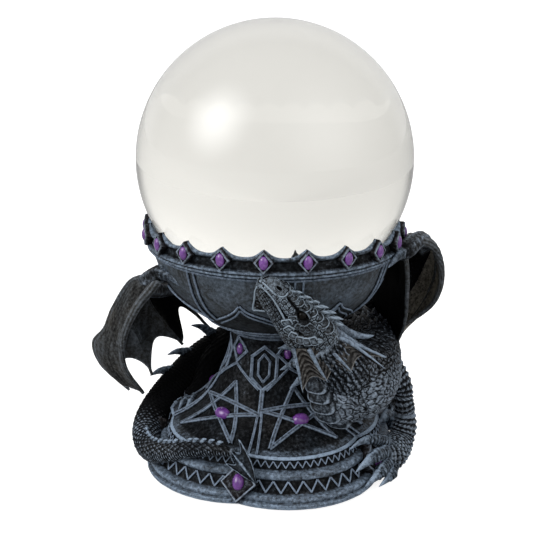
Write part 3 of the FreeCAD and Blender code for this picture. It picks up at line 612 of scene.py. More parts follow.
def lobe_point(r, k, share, z):
    """Point on the outline of lobe k, share 0 at its first cusp and 1 at its second."""
    a = r * LOBE_SPREAD
    b = r - a
    half = math.radians(LOBE_STEP / 2)
    cusp = a * math.cos(half) + math.sqrt(b * b - (a * math.sin(half)) ** 2)
    reach = math.atan2(cusp * math.sin(half), cusp * math.cos(half) - a)
    t = reach * (2 * share - 1)
    x, y = a + b * math.cos(t), b * math.sin(t)
    m = math.radians(LOBE_AZ + k * LOBE_STEP)
    return vec(x * math.sin(m) + y * math.cos(m), -x * math.cos(m) + y * math.sin(m), z)


def make_zigzag(name, node, band, teeth, width, height):
    z_low, r_low, z_high, r_high = band
    sheet = Sheet()
    for k in range(LOBES):
        for i in range(2 * teeth):
            ends = []
            for u in np.linspace(0, 1, 9):
                share = 0.07 + 0.86 * (i + u) / (2 * teeth)
                t = u if i % 2 == 0 else 1 - u
                z = z_low + (z_high - z_low) * t
                r = r_low + (r_high - r_low) * t
                ends.append([lobe_point(r, k, share, z), lobe_point(r + 1.0, k, share, z)])
            path, beyond = np.array(ends).transpose(1, 0, 2)
            ribbon(sheet, path, beyond - path, width, height, edge=0.95, top=0.75)
    build(name, sheet, BARS, node)


def azimuth_of(q):
    return np.degrees(np.arctan2(q[:, 0], -q[:, 1]))


def onto_bell(points, out):
    """Slides points along `out` until they lie on the pedestal."""
    low, high = np.full(len(points), -16.0), np.full(len(points), 16.0)
    for _ in range(30):
        mid = (low + high) / 2
        q = points + out * mid[:, None]
        outside = np.hypot(q[:, 0], q[:, 1]) > bell_reach(azimuth_of(q), q[:, 2])
        high = np.where(outside, mid, high)
        low = np.where(outside, low, mid)
    return points + out * low[:, None]


def bell_ribbon(sheet, corners, out, width, height, closed=False, **paint):
    """Strap along straight runs between corners, laid on the pedestal."""
    runs = list(zip(corners, corners[1:])) + ([(corners[-1], corners[0])] if closed else [])
    for p, q in runs:
        p, q = vec(p), vec(q)
        d = unit(q - p) * width * 0.3
        path = onto_bell(straight(p - d, q + d, 0.6), out)
        nrm = wall_normal(bell_wall, azimuth_of(path), np.clip(path[:, 2], 18.6, 58.6))
        ribbon(sheet, path, nrm, width, height, **paint)


def make_pedestal():
    sheet = Sheet()
    az = np.linspace(0, 360, 720, endpoint=False)
    pts = bell_wall(az, np.linspace(BELL_FOOT_Z, NECK_TOP_Z, 120)[:, None])
    pts = push_out(pts, noise3(pts, 5.0, 11) * 0.18 + noise3(pts, 1.4, 12) * 0.07)
    off = np.abs(off_middle(az, LOBE_AZ, LOBE_STEP))
    paint = -0.28 + 0.16 * noise3(pts, 7.0, 13) - 0.12 * smoothstep(off, 28, 36)
    sheet.grid(pts, paint, wrap=True, caps=(True, True))
    build("pedestal_wall", sheet, STAND, "pedestal_bell", shape_paint=0.45)

    stars, straps, kites, shields = Sheet(), Sheet(), Sheet(), Sheet()
    star_gems, neck_gems = Sheet(), Sheet()
    for k, star in enumerate(STAR_AZ):
        az = LOBE_AZ + k * LOBE_STEP
        out = facing(star, 40.0)[2]
        tips = [polar(star + turn, bell_radius(z), z) for turn, z in STAR_TIPS]
        for i in range(5):
            bell_ribbon(stars, [tips[i], tips[(i + 2) % 5]], out, 1.8, 1.0 + 0.08 * i, edge=0.8, top=0.15)
        side, up, out = facing(star, 46.0)
        dome(star_gems, polar(star, bell_radius(27.0) + 0.3, 27.0) + out * 0.2, side, up, out, 3.6, 2.6, 2.3)
        side, up, out = facing(az, 6.0)
        c = polar(az, NECK_R, 51.0)
        corners = [c + up * 5.6, c + side * 4.1, c - up * 4.9, c - side * 4.1]
        bell_ribbon(kites, corners, out, 1.3, 1.0, closed=True)
        nested(kites, c, side, up, out, [(0, 4.4), (3.1, 0), (0, -3.8), (-3.1, 0)],
               [(-0.1, -1.0, -0.6), (0, 0.25, -0.3), (0.5, 0.3, -0.1), (1.2, 0.35, -0.05)])
        dome(neck_gems, polar(az, NECK_R + 0.3, 51.0), side, up, out, 1.5, 2.4, 1.5)
        az = SHIELD_AZ[k]
        side, up, out = facing(az, 8.0)
        c = polar(az, bell_radius(45.0), 45.4)
        for w, h, line in ((4.9, 8.8, 1.5), (2.2, 5.6, 1.1)):
            corners = [c + up * h, c + side * w + up * h * 0.5, c + side * w - up * h * 0.5,
                       c - up * h, c - side * w - up * h * 0.5, c - side * w + up * h * 0.5]
            bell_ribbon(shields, corners, out, line, 1.1, closed=True)
        out = facing(az, 30.0)[2]
        bell_ribbon(straps, [polar(az, bell_radius(z), z) for z in (37.0, 33.0, 28.5)], out, 2.0, 1.0)
        for dx in (-1.2, 1.2):
            points = [polar(az, bell_radius(z), z) + facing(az)[0] * dx * spread
                      for z, spread in ((29.2, 0.6), (25.0, 0.9), (21.5, 1.15), (18.8, 1.4))]
            bell_ribbon(straps, points, out, 1.1, 0.85)
        for sign in (-1, 1):
            kite = LOBE_AZ + (k - 0.5 + 0.5 * sign) * LOBE_STEP
            p = polar(kite, bell_radius(45.2), 45.2)
            q = polar(az + sign * 5.0, bell_radius(37.2), 37.2)
            bell_ribbon(straps, [p, q], facing((kite + az) / 2, 12.0)[2], 1.2, 0.9)
    for z in (57.4, 58.6):
        path = bell_wall(np.linspace(0, 360, 200, endpoint=False), z)
        ribbon(straps, path, path * (1, 1, 0), 0.9, 0.7, closed=True)
    for name, bars, node in (("star_bars", stars, "pentagram_stars"), ("strap_bars", straps, "bell_straps"),
                             ("kite_bars", kites, "neck_kites"), ("shield_bars", shields, "shield_frames")):
        build(name, bars, BARS, node)
    build("star_gems", star_gems, GEM, "star_cabochons")
    build("neck_gems", neck_gems, GEM, "neck_cabochons")


def make_plates():
    plates, gems = Sheet(), Sheet()
    for k in range(LOBES):
        az = LOBE_AZ + (k - 0.5) * LOBE_STEP
        side, up, out = facing(az, 24.0)
        c = polar(az, 49.6, 9.6)
        nested(plates, c, side, up, out, [(0, 8.2), (7.2, 0), (0, -7.6), (-7.2, 0)],
               [(0.0, -3.2, -0.6), (0.0, 0.9, 0.1), (0.18, 1.4, 0.95), (0.55, 1.45, 0.95),
                (0.85, 1.05, -0.35), (1.3, 1.0, -0.25), (2.4, 1.05, 0.0), (4.0, 1.1, -0.05)], steps=14)
        dome(gems, c + out * 1.05 + up * 0.4, side, up, out, 2.3, 3.3, 2.3)
    build("corner_plates", plates, PLATE, "diamond_plates", smooth=False)
    build("plate_gems", gems, GEM, "plate_cabochons")


def make_cup():
    sheet = Sheet()
    az = np.linspace(0, 360, 580, endpoint=False)
    inner = [(float(seat_radius(z)), z) for z in (91.5, 86.0, 80.0, 75.5, 73.2)]
    outer = [(17.7, NECK_TOP_Z), (17.7, 59.4), (22.0, 60.2)] + [tuple(p) for p in resample(CUP[2:], 90)]
    rows = turned_rows(outer + inner, 0.55, 1)
    r, z = rows[:, :1], rows[:, 1:]
    pts = polar(az, r, z)
    lump = noise3(pts, 6.0, 21) * 0.10 + noise3(pts, 1.2, 22) * 0.04
    pts[:len(outer)] = push_out(pts, lump)[:len(outer)]
    paint = 0.10 + 0.14 * noise3(pts, 9.0, 23) + 0.08 * noise3(pts * (1, 1, 0.35), 1.5, 24)
    paint = paint - 0.22 * smoothstep(ogee_height(az) - z, -0.5, 1.5)
    sheet.grid(pts, paint, wrap=True, caps=(True, True))
    build("cup_wall", sheet, PANEL, "cup_bowl", shape_paint=0.3)

    lines = Sheet()
    for k in range(ARCHES):
        middle = ARCH_AZ + k * ARCH_STEP
        for sign in (-1, 1):
            foot = middle + 3.4 * sign
            runs = [(1.0, [(middle + 1.8 * sign, 91.8), (middle + 2.1 * sign, 84.0),
                           (middle + 2.5 * sign, 76.5), (foot, 69.9)])]
            peak = middle + sign * 0.5 * ARCH_STEP + PEAK_LEAN
            for drop, height in ((0.0, 1.0), (2.2, 0.8)):
                runs.append((height, [(foot, 69.9 - drop), (middle + sign * 0.27 * ARCH_STEP, 73.6 - drop),
                                      (0.14 * middle + 0.86 * peak, 76.8 - drop), (peak, 79.8 - drop)]))
            for height, points in runs:
                turn, z = resample(points, 40).T
                ribbon(lines, cup_wall(turn, z), wall_normal(cup_wall, turn, z), 0.85, height, edge=0.9,
                       top=0.5)
    turn = np.linspace(0, 360, 260, endpoint=False)
    for z, width in ((61.9, 0.9), (63.6, 0.8), (91.2, 1.0)):
        ribbon(lines, cup_wall(turn, z), wall_normal(cup_wall, turn, min(z, 91.5)), width, 0.9, closed=True,
               edge=0.7, top=0.4)
    build("cup_tracery_lines", lines, BARS, "cup_tracery")


def ogee_height(az):
    """Height of the ogee line round the cup: highest at a peak, lowest at a springer."""
    turn = np.mod(az - ARCH_AZ, ARCH_STEP)
    peak = 0.5 * ARCH_STEP + PEAK_LEAN
    share = np.where(turn < peak, turn / peak, (ARCH_STEP - turn) / (ARCH_STEP - peak))
    return np.interp(share, [0, 0.14, 0.54, 0.86, 1.0], [69.0, 69.9, 73.6, 76.8, 79.8])


def make_collar():
    sheet = Sheet()
    az = np.linspace(0, 360, 900, endpoint=False)
    lift = RIM_RISE * np.exp(-(np.abs(off_middle(az, STUD_AZ, STUD_STEP)) / RIM_RISE_AZ) ** 1.6)
    outer = turned_rows(COLLAR, 0.26, 2)
    pts = []
    for r, z in outer:
        grow = smoothstep(z, 98.2, COLLAR_TOP_Z)
        top = z + lift * grow
        edge = np.maximum(r - 0.15 * grow * lift / RIM_RISE, seat_radius(top) + 0.25)
        pts.append(polar(az, edge, top))
    for k in range(1, 9):
        top = COLLAR_TOP_Z + lift - 0.05 - 0.6 * k * (k > 1)
        blend = min(1.0, k / 2.0)
        pts.append(polar(az, edge * (1 - blend) + seat_radius(top) * blend, top))
    for k in range(1, 7):
        low = top + (SEAT_FLOOR_Z - top) * k / 6.0
        pts.append(polar(az, seat_radius(low), low))
    pts += [polar(az, 42.3, 91.3), polar(az, 45.5, 91.2), polar(az, 48.2, 91.4), pts[0].copy()]
    pts = np.array(pts)
    lump = noise3(pts, 4.0, 31) * 0.08 + noise3(pts, 1.1, 32) * 0.05
    pts[:len(outer)] = push_out(pts, lump)[:len(outer)]
    z = pts[..., 2]
    paint = 0.16 + 0.10 * noise3(pts, 5.0, 33)
    channel = smoothstep(z, 94.9, 95.6) * (1 - smoothstep(z, 98.2, 98.9))
    paint = paint - 0.38 * channel - 0.25 * smoothstep(z, 99.0, 99.6)
    paint[len(outer) + 2:] = -0.35
    sheet.grid(pts, paint, wrap=True)
    build("collar_ring", sheet, STAND, "rim_collar", shape_paint=0.6)

    studs, gems = Sheet(), Sheet()
    half_w, half_h = STUD_W / 2, STUD_H / 2
    for k in range(STUDS):
        a = STUD_AZ + k * STUD_STEP
        side, up, out = facing(a)
        c = polar(a, COLLAR_R - 1.0, STUD_Z)
        nested(studs, c, side, up, out, [(0, half_h), (half_w, 0), (0, -half_h), (-half_w, 0)],
               [(0.0, -1.6, -0.6), (0.0, 0.9, -0.1), (0.25, STUD_T, 0.7), (0.65, STUD_T + 0.05, 0.6),
                (0.95, STUD_T - 0.35, -0.5), (1.6, STUD_T - 0.4, -0.35), (2.4, STUD_T - 0.35, -0.3)], steps=8)
        dome(gems, c + out * (STUD_T - 0.4), side, up, out, 1.75, 2.6, 1.35)
    build("stud_frames", studs, PLATE, "rim_studs", smooth=False)
    build("stud_gems", gems, GEM, "rim_cabochons")


# ---- Skin patterns -----------------------------------------------------------------------------
def shingles(s, ang, radius, pitch, wide, height, reach, point, ruffle, seed):
    """Overlapping scales on a limb, free ends towards larger s. Returns height and paint."""
    rows = int(s.max() / pitch) + 3
    row_s = (np.arange(rows) + 0.5) * pitch
    mean_r = np.interp(row_s, s[:, 0], radius[:, 0])
    cells = np.maximum(5, np.round(2 * math.pi * mean_r / wide)).astype(int)
    best = np.zeros(s.shape)
    tip = np.zeros(s.shape)
    base_row = np.floor(s / pitch).astype(int)
    for back in range(0, int(math.ceil(reach)) + 1):
        i = np.clip(base_row - back, 0, rows - 1)
        n = cells[i]
        v = ang / (2 * math.pi) * n + 0.5 * (i % 2)
        j = np.mod(np.floor(v), n)
        rnd = hash01(i, j, seed)
        rnd2 = hash01(i, j, seed + 7)
        t = s / pitch - i - 0.25 * (rnd - 0.5) * (0.4 + ruffle)
        w = v - np.floor(v) - 0.5 + ruffle * (rnd2 - 0.5) * t * 0.5
        width = 0.54 * np.power(np.clip(1 - np.power(np.clip(t / reach, 0, 1), point), 0, 1), 0.8)
        inside = smoothstep(width - np.abs(w), -0.01, 0.09) * (t > 0) * (t < reach)
        rise = height * (0.3 + 0.7 * np.clip(t / reach, 0, 1)) * (1 + ruffle * (rnd - 0.4))
        dome_w = 1 - 0.45 * np.clip(np.abs(w) / 0.5, 0, 1) ** 2
        h = rise * dome_w * inside + 0.12 * height * np.exp(-(w / 0.07) ** 2) * inside
        tip = np.where(h > best, inside * np.clip(t / reach, 0, 1), tip)
        best = np.maximum(best, h)
    return best, 0.45 * (tip - 0.55)


def cobbles(u, v, seed, jitter):
    """Distance to the groove between irregular cells on a unit grid, and each cell's number."""
    bu, bv = np.floor(u), np.floor(v)
    first = np.full(np.broadcast(u, v).shape, 9.0)
    second = first.copy()
    ident = np.zeros(first.shape)
    for du in (-1, 0, 1):
        for dv in (-1, 0, 1):
            cu, cv = bu + du, bv + dv
            x = cu + 0.5 + jitter * (hash01(cu, cv, seed) - 0.5)
            y = cv + 0.5 + jitter * (hash01(cu, cv, seed + 3) - 0.5)
            d = np.hypot(u - x, v - y)
            nearer = d < first
            second = np.where(nearer, first, np.minimum(second, d))
            ident = np.where(nearer, hash01(cu, cv, seed + 5), ident)
            first = np.where(nearer, d, first)
    return second - first, ident


def pad(sheet, centre, side, up, out, half_w, half_h, lift, rim, power, cols, tip=0.0, bend=0.0,
        paint=(0.8, 0.05), lap=0.0):
    """Smooth scale or shield with a raised rim; tip > 0 draws its upper end to a point.
    With lap it lies low at its lower end and stands proud at the upper, free one."""
    c, s = np.cos(circle(cols)), np.sin(circle(cols))
    x = np.sign(c) * np.abs(c) ** (2 / power)
    y = np.sign(s) * np.abs(s) ** (2 / power)
    x = x * (1 - tip * np.clip(y, 0, 1) ** 1.2)
    rows, value = [], []
    section = [(1.0, -1.2, -0.7), (1.0, lift * 0.45, -0.2), (0.95, lift * 0.92, paint[0]),
               (0.84, lift, paint[0]), (0.72, lift - rim * 0.7, -0.15), (0.5, lift - rim * 0.35, paint[1]),
               (0.2, lift - rim * 0.05, paint[1] + 0.1)]
    for scale, h, p in section:
        px, py = x * half_w * scale, y * half_h * scale
        free = 1 - lap * 0.5 * (1 - y * scale)
        rise = (h * free if h > 0 else h) - bend * (px / half_w) ** 2 - 0.35 * bend * (py / half_h) ** 2
        rows.append(centre + side * px[:, None] + up * py[:, None] + out * rise[:, None])
        value.append(p * free - 0.25 * (1 - free))
    sheet.grid(np.array(rows), np.array(value), wrap=True, caps=(True, True))


# ---- Dragon: body, neck, tail, legs --------------------------------------------------------------
TORSO = [(20.4, -38.6, 36.2, 2.5), (22.6, -36.4, 37.0, 8.2), (27.5, -31.5, 39.5, 11.6),
         (32.5, -26.5, 42.5, 14.8), (37.6, -14.0, 44.8, 14.2), (39.4, 4.0, 47.0, 13.2),
         (36.5, 22.0, 46.5, 13.4), (24.0, 37.0, 44.0, 13.8),
         (5.0, 44.0, 39.5, 13.4), (-13.0, 41.5, 34.5, 12.0)]
TAIL = [(-2.0, 43.5, 37.5, 12.0), (-13.0, 41.5, 34.5, 11.6), (-29.0, 34.0, 28.0, 9.8),
        (-42.0, 21.0, 20.5, 8.0), (-50.0, 6.0, 15.2, 6.6), (-52.0, -7.5, 11.6, 5.6),
        (-49.0, -19.5, 10.4, 4.8),
        (-41.5, -29.0, 13.4, 3.9), (-32.0, -36.0, 18.0, 3.2), (-22.5, -41.5, 20.8, 2.6),
        (-15.0, -46.0, 21.4, 1.5)]
NECK = [(33.5, -22.5, 42.0, 13.2), (31.5, -27.5, 45.0, 12.8), (26.5, -34.0, 53.0, 11.0),
        (21.8, -39.4, 60.5, 9.0), (17.0, -43.6, 67.5, 7.6)]
OUTER_FORELEG = [(38.0, -7.0, 50.0, 8.5), (42.0, -7.0, 46.0, 8.0), (50.0, -7.5, 40.0, 5.4),
                 (53.8, -8.0, 34.5, 4.0), (54.6, -8.0, 28.6, 3.6), (55.4, -7.0, 22.5, 4.1),
                 (55.4, -8.0, 17.0, 4.8), (54.0, -10.0, 12.4, 5.2),
                 (51.5, -14.5, 9.8, 5.8), (48.4, -20.0, 9.2, 6.0), (45.4, -24.2, 10.2, 4.4)]
OUTER_FORE_CLAWS = [
    ([(47.0, -21.5, 15.0), (41.5, -26.5, 18.8), (36.0, -29.8, 19.4), (30.8, -32.3, 16.8)], 2.4),
    ([(46.4, -24.5, 12.4), (42.0, -31.0, 14.0), (37.6, -35.0, 12.6), (33.2, -37.4, 9.4)], 3.0),
    ([(47.0, -25.0, 8.4), (44.2, -31.6, 7.8), (40.6, -36.0, 6.0), (37.2, -38.0, 3.6)], 2.9),
    ([(49.6, -23.0, 6.4), (48.6, -29.0, 5.2), (45.8, -33.4, 4.2), (42.8, -36.0, 2.6)], 2.4)]
INNER_FORELEG = [(30.0, -26.0, 46.0, 7.0), (28.0, -26.0, 47.0, 6.5), (21.0, -25.0, 50.0, 5.2),
                 (14.5, -23.5, 51.0, 3.8)]
INNER_FORE_CLAWS = [([(15.0, -23.0, 53.0), (8.0, -22.5, 56.0), (2.0, -20.5, 55.0)], 1.9),
                    ([(15.0, -24.0, 51.0), (9.0, -24.5, 50.0), (3.0, -22.5, 46.5)], 1.9),
                    ([(16.0, -25.0, 49.0), (12.0, -27.0, 45.0), (7.0, -26.0, 40.0)], 1.9)]
OUTER_HIND_LEG = [(28.0, 32.0, 43.0, 11.5), (30.0, 33.0, 42.0, 11.5), (43.0, 35.0, 33.0, 9.6),
                  (50.5, 27.5, 24.0, 7.6), (52.2, 19.5, 16.0, 6.2), (51.2, 12.5, 11.0, 5.0)]
OUTER_HIND_CLAWS = [([(50.6, 12.0, 12.6), (48.4, 5.5, 15.0), (45.6, 0.5, 14.4)], 3.0),
                    ([(51.8, 11.5, 10.2), (52.6, 4.5, 11.0), (51.4, -1.0, 7.6)], 3.2),
                    ([(52.2, 13.0, 9.0), (54.8, 7.5, 8.6), (54.6, 3.0, 5.4)], 2.4)]
INNER_HIND_LEG = [(-17.0, 38.0, 34.0, 8.0), (-20.0, 34.0, 34.0, 7.5), (-26.0, 25.0, 30.0, 6.2),
                  (-29.5, 16.0, 24.5, 4.6), (-35.0, 10.0, 20.6, 3.2)]
INNER_HIND_CLAWS = [([(-34.0, 10.5, 20.6), (-37.5, 5.0, 20.6), (-39.5, 0.0, 18.6)], 1.8),
                    ([(-34.5, 11.0, 20.6), (-40.0, 8.0, 19.4), (-44.0, 4.5, 16.4)], 1.8),
                    ([(-33.0, 9.5, 21.6), (-34.0, 3.0, 22.4), (-36.5, -2.5, 20.4)], 1.8)]
BACK_SPINES = [(-44.0, 25.0, 27.0, -53.0, 19.5, 27.5), (-36.0, 31.5, 33.0, -46.0, 27.0, 34.5),
               (-26.0, 38.0, 39.5, -36.0, 34.0, 46.0), (-14.0, 44.0, 45.0, -21.0, 42.0, 54.0),
               (-1.0, 47.0, 49.0, -6.0, 47.0, 58.0), (12.0, 46.0, 54.0, 8.0, 49.0, 62.5),
               (25.0, 40.0, 56.5, 24.0, 46.0, 64.0), (35.0, 30.0, 59.0, 37.0, 36.0, 66.0)]


def scaled_tube(name, node, route, around, step, scale, seed, ruffle, lumps, reach=1.5, point=1.6,
                shape_paint=0.75, extra=None):
    """Scaly limb; scale holds the pitch, width and height of its scales. extra(s, ang, radius, pts, h, tint)
    changes the height and the paint."""
    sheet = Sheet()
    pitch, wide, height = scale

    def bump(s, ang, radius, pts):
        size = np.clip(radius / radius.mean(), 0.35, 1.3)
        h, tint = shingles(s, ang, radius, pitch, wide, height, reach, point, ruffle, seed)
        h = h * size + lumps * noise3(pts, 7.0, seed + 1) + 0.12 * height * noise3(pts, 1.0, seed + 2)
        tint = tint + 0.12 * noise3(pts, 5.0, seed + 3)
        return extra(s, ang, radius, pts, h, tint) if extra else (h, tint)

    tube(sheet, route, around, step, bump)
    build(name, sheet, HIDE, node, shape_paint=shape_paint)


def painted_shade_inner_flank(pts):
    """Painted shade: a dark wash on the flank that lies against the stand, where shadow falls."""
    mid = pts.mean(1, keepdims=True)
    away = unit(pts - mid)
    inward = unit(mid * vec(-1.0, -1.0, 0.0))
    return -2.4 * smoothstep(np.sum(away * inward, -1), -0.15, 0.45) * smoothstep(mid[..., 1], 8.0, 20.0)


def breast_scales(pts):
    """Crackled scales laid round the upright middle line of the breast."""
    rel = pts - vec(31.0, -20.0, 0.0)
    turn = np.arctan2(rel[..., 1], rel[..., 0]) * 14.0 + 0.8 * noise3(pts, 3.0, 61)
    gap, ident = cobbles(turn / 2.2 + 50, pts[..., 2] / 2.0 + 0.5 * noise3(pts, 3.0, 62) + 50, 43, 0.95)
    crackle = 0.60 * smoothstep(gap, 0.0, 0.40) + 0.30 * ident - 0.25 * np.exp(-((gap - 0.55) / 0.25) ** 2)
    return crackle + 0.16 * noise3(pts, 0.9, 64)


def make_body():
    def chest(s, ang, radius, pts, h, tint):
        front = 1 - smoothstep(s, 34.0, 62.0)
        mixed = breast_scales(pts) + 0.45 * noise3(pts, 6.0, 42)
        shoulder = smoothstep(pts[..., 2], 46.0, 54.0)
        # the breast blends into scales, with painted shade added on the flank that lies against the stand
        tint = tint * (1 - front) + (0.16 - 0.45 * shoulder) * front + painted_shade_inner_flank(pts)
        return h * (1 - front) + mixed * front, tint
    scaled_tube("body_hide", "dragon_torso", TORSO, 260, 0.36, (4.2, 3.6, 1.15), 41, 0.8, 0.45, 1.7, 1.2,
                shape_paint=0.55, extra=chest)

    def nape(s, ang, radius, pts, h, tint):
        low = 1 - smoothstep(s, 14.0, 24.0)
        rough = 0.30 * (np.abs(noise3(pts, 1.4, 63)) - 0.25) + 0.15 * noise3(pts, 0.8, 64)
        return (h + rough) * (1 - low) + (0.3 * h + breast_scales(pts)) * low, tint + 0.10 * low
    scaled_tube("neck_hide", "dragon_neck", NECK, 180, 0.34, (2.4, 2.2, 0.7), 42, 0.8, 0.3, 1.6, 1.3,
                shape_paint=0.55, extra=nape)

    def rings(s, ang, radius, pts, h, tint):
        share = s / s.max()
        slim = smoothstep(share, 0.55, 0.7)
        ring = 0.34 * np.cos(s / 1.7 * 2 * math.pi + 0.8 * noise3(pts, 4.0, 65)) * (1 - slim)
        h = h * (0.6 + 0.4 * slim)
        under = smoothstep(-np.cos(ang), -0.4, 0.3)
        belly = 0.25 * np.cos(s / 1.15 * 2 * math.pi) * slim * under
        # painted shade: the front-facing side of the tail's rear part, in shadow behind the stand, is
        # darkened
        mid = pts.mean(1, keepdims=True)
        turned = np.sum(unit(pts - mid) * unit(vec(0.25, -1.0, 0.45)), -1)
        painted_shade = -2.0 * smoothstep(mid[..., 1], -9.0, 19.0) * smoothstep(turned, -0.5, 0.1)
        return h * (1 - 0.5 * slim * under) + ring + belly, tint + painted_shade - 0.12
    scaled_tube("tail_hide", "dragon_tail", TAIL, 150, 0.30, (1.7, 1.9, 0.5), 43, 0.35, 0.15, 1.4, 1.9,
                shape_paint=0.62, extra=rings)

    def wraps(s, ang, radius, pts, h, tint):
        fold = 0.30 * np.cos(s / 2.1 * 2 * math.pi + 1.2 * np.sin(ang) + 1.5 * noise3(pts, 5.0, 66))
        return 0.7 * h + fold * np.clip(radius / 4.5, 0.5, 1.3), tint + 0.14
    scaled_tube("outer_foreleg_hide", "outer_foreleg", OUTER_FORELEG, 130, 0.28, (1.9, 2.0, 0.55), 44, 0.5,
                0.3, 1.4, shape_paint=0.6, extra=wraps)
    scaled_tube("inner_foreleg_hide", "inner_foreleg", INNER_FORELEG, 90, 0.4, (2.2, 2.4, 0.5), 45, 0.4, 0.3)
    scaled_tube("outer_hind_leg_hide", "outer_hind_leg", OUTER_HIND_LEG, 140, 0.42, (3.0, 2.8, 0.75), 46, 0.5,
                0.5)

    # Painted shade on the front-facing side of the inner hind leg's rear part, which lies in shadow behind
    # the stand
    def behind(s, ang, radius, pts, h, tint):
        mid = pts.mean(1, keepdims=True)
        turned = np.sum(unit(pts - mid) * vec(0, -1.0, 0.0), -1)
        return h, tint - 2.2 * smoothstep(mid[..., 1], 4.0, 14.0) * smoothstep(turned, -0.5, 0.1)
    scaled_tube("inner_hind_leg_hide", "inner_hind_leg", INNER_HIND_LEG, 100, 0.42, (2.6, 2.6, 0.6), 47, 0.5,
                0.3, extra=behind)


def make_toes(name, node, toes):
    """Knuckled toes that end in bright-edged claws."""
    sheet = Sheet()
    for points, radius in toes:
        full = resample(points, 60)
        toe, claw = full[:37], full[32:]
        t = np.linspace(0, 1, len(toe))
        rad = radius * (1 - 0.22 * t) * (1 + 0.10 * np.sin(t * math.pi * 2 * 2 - 0.6))

        def skin(s, ang, r, pts):
            back = np.clip(np.cos(ang), 0, 1)
            upper = np.cos(ang) > 0
            ridge = 0.22 * np.exp(-(np.sin(ang) / 0.22) ** 2) * upper * r / 2.4
            fold = 0.16 * np.cos(s / 1.5 * 2 * math.pi + 2.0 * np.sin(ang))
            tint = 0.55 * np.exp(-(np.sin(ang) / 0.25) ** 2) * upper - 0.06
            return ridge + fold * (1 - 0.5 * back) + 0.14 * noise3(pts, 0.9, 71), tint
        tube(sheet, np.column_stack([toe, rad]), 36, 0.3, skin)
        spike(sheet, claw, radius * 0.80, 18, 24, (-0.1, 0.8), power=0.85, flat=0.75)
    build(name, sheet, CLAW, node, shape_paint=0.5)


def make_limbs():
    for place, toes in (("outer_fore", OUTER_FORE_CLAWS), ("inner_fore", INNER_FORE_CLAWS),
                        ("outer_hind", OUTER_HIND_CLAWS), ("inner_hind", INNER_HIND_CLAWS)):
        make_toes(place + "_toes", place + "_claws", toes)
    sheet = Sheet()
    for ends in BACK_SPINES:
        p, q = vec(ends[:3]), vec(ends[3:])
        route = [p - unit(q - p) * 2.5, p + (q - p) * 0.5 + vec(0, 0, 1.2), q - vec(0, 0, 0.4)]
        spike(sheet, route, 3.0, 16, 22, (-0.3, 0.5), power=0.75, flat=0.55, ridges=0.04)
    count = 15
    tail = resample(TAIL, 200)
    for i in range(count):
        t = 0.62 + 0.36 * i / count
        k = int(t * 199)
        p, r = tail[k, :3], tail[k, 3]
        ahead = unit(tail[min(k + 3, 199), :3] - tail[k - 3, :3])
        top = unit(vec(0, 0, 1) - ahead * ahead[2])
        root = p + top * (r - 0.3)
        route = [root, root + top * 1.0 + ahead * 0.7, root + top * 1.3 + ahead * 2.4]
        spike(sheet, route, 1.05, 10, 8, (0.0, 0.9), up=ahead)
    build("spine_row", sheet, CLAW, "back_spines", shape_paint=0.4)


# Outlines of the leaf on the tail's end, and its section: share of the way out, height, paint
LEAF_FAR = [(0.04, 0.8), (0.20, 1.6), (0.14, 3.3), (-0.12, 5.2), (0.08, 5.0), (0.30, 4.4), (0.54, 3.6),
            (0.78, 2.1), (1.0, 0.0)]
LEAF_NEAR = [(0.14, -0.7), (0.34, -1.5), (0.30, -2.8), (0.16, -4.5), (0.34, -3.9), (0.50, -3.0), (0.66, -2.3),
             (0.84, -1.2), (1.0, 0.0)]
LEAF_SECTION = [(1.0, -0.9, -0.6), (1.0, 0.3, 0.7), (0.95, 0.62, 0.8), (0.86, 0.25, -0.35), (0.6, 0.10, -0.3),
                (0.35, 0.20, -0.25), (0.14, 0.45, -0.1), (0.06, 0.95, 0.6), (0.0, 1.05, 0.6),
                (0.0, -0.9, -0.6)]


def make_barb():
    base, tip = vec(-15.6, -45.6, 21.8), vec(-5.9, -53.6, 12.2)
    out = unit(vec(-0.2, -0.85, 0.5))
    along = unit(tip - base)
    side = unit(np.cross(along, out))
    if side[2] < 0:
        side = -side
    length = float(np.linalg.norm(tip - base))
    rib = np.linspace(0.02, 1.0, 44)
    thin = np.minimum(1.0, 0.3 + (1.0 - rib) * 3.0)
    sheet = Sheet()
    for outline in (LEAF_FAR, LEAF_NEAR):
        half = resample(outline, 44)
        cols = []
        for blend, h, _ in LEAF_SECTION:
            x = half[:, 0] * blend + rib * (1 - blend)
            y = half[:, 1] * blend
            rise = (h * thin if h > 0 else h) - 0.05 * y * np.abs(y) * 0.4
            cols.append(base + along * (length * x)[:, None] + side * y[:, None] + out * rise[:, None])
        paint = np.array([p for _, _, p in LEAF_SECTION])
        sheet.grid(np.array(cols).transpose(1, 0, 2), paint, wrap=True, caps=(True, True))
    build("tail_leaf", sheet, CLAW, "tail_barb")


SCUTES = [(16.2, -39.1, 46.6, 5.6, 3.2), (17.2, -39.1, 42.4, 6.0, 3.2), (18.6, -39.1, 38.0, 6.4, 3.3),
          (20.6, -38.6, 33.8, 6.6, 3.3), (24.6, -37.0, 30.2, 6.4, 3.0)]


def make_scutes():
    sheet = Sheet()
    centre = vec(34.0, -24.0, 42.5)
    for i, (x, y, z, w, h) in enumerate(SCUTES):
        p = vec(x, y, z)
        out = unit(unit(p - centre) + vec(-0.15, -0.25, 0.0))
        fall = vec(0.25, 0.1, -1.0)
        along = unit(fall - out * np.dot(fall, out))
        side = np.cross(along, out)
        pad(sheet, p - out * (0.4 + 0.10 * i), side, along, out, w, h, 1.7, 0.15, 3.4, 44, bend=1.3, lap=0.9,
            paint=(0.65, 0.12))
    build("belly_shields", sheet, HIDE, "belly_scutes", shape_paint=0.15)


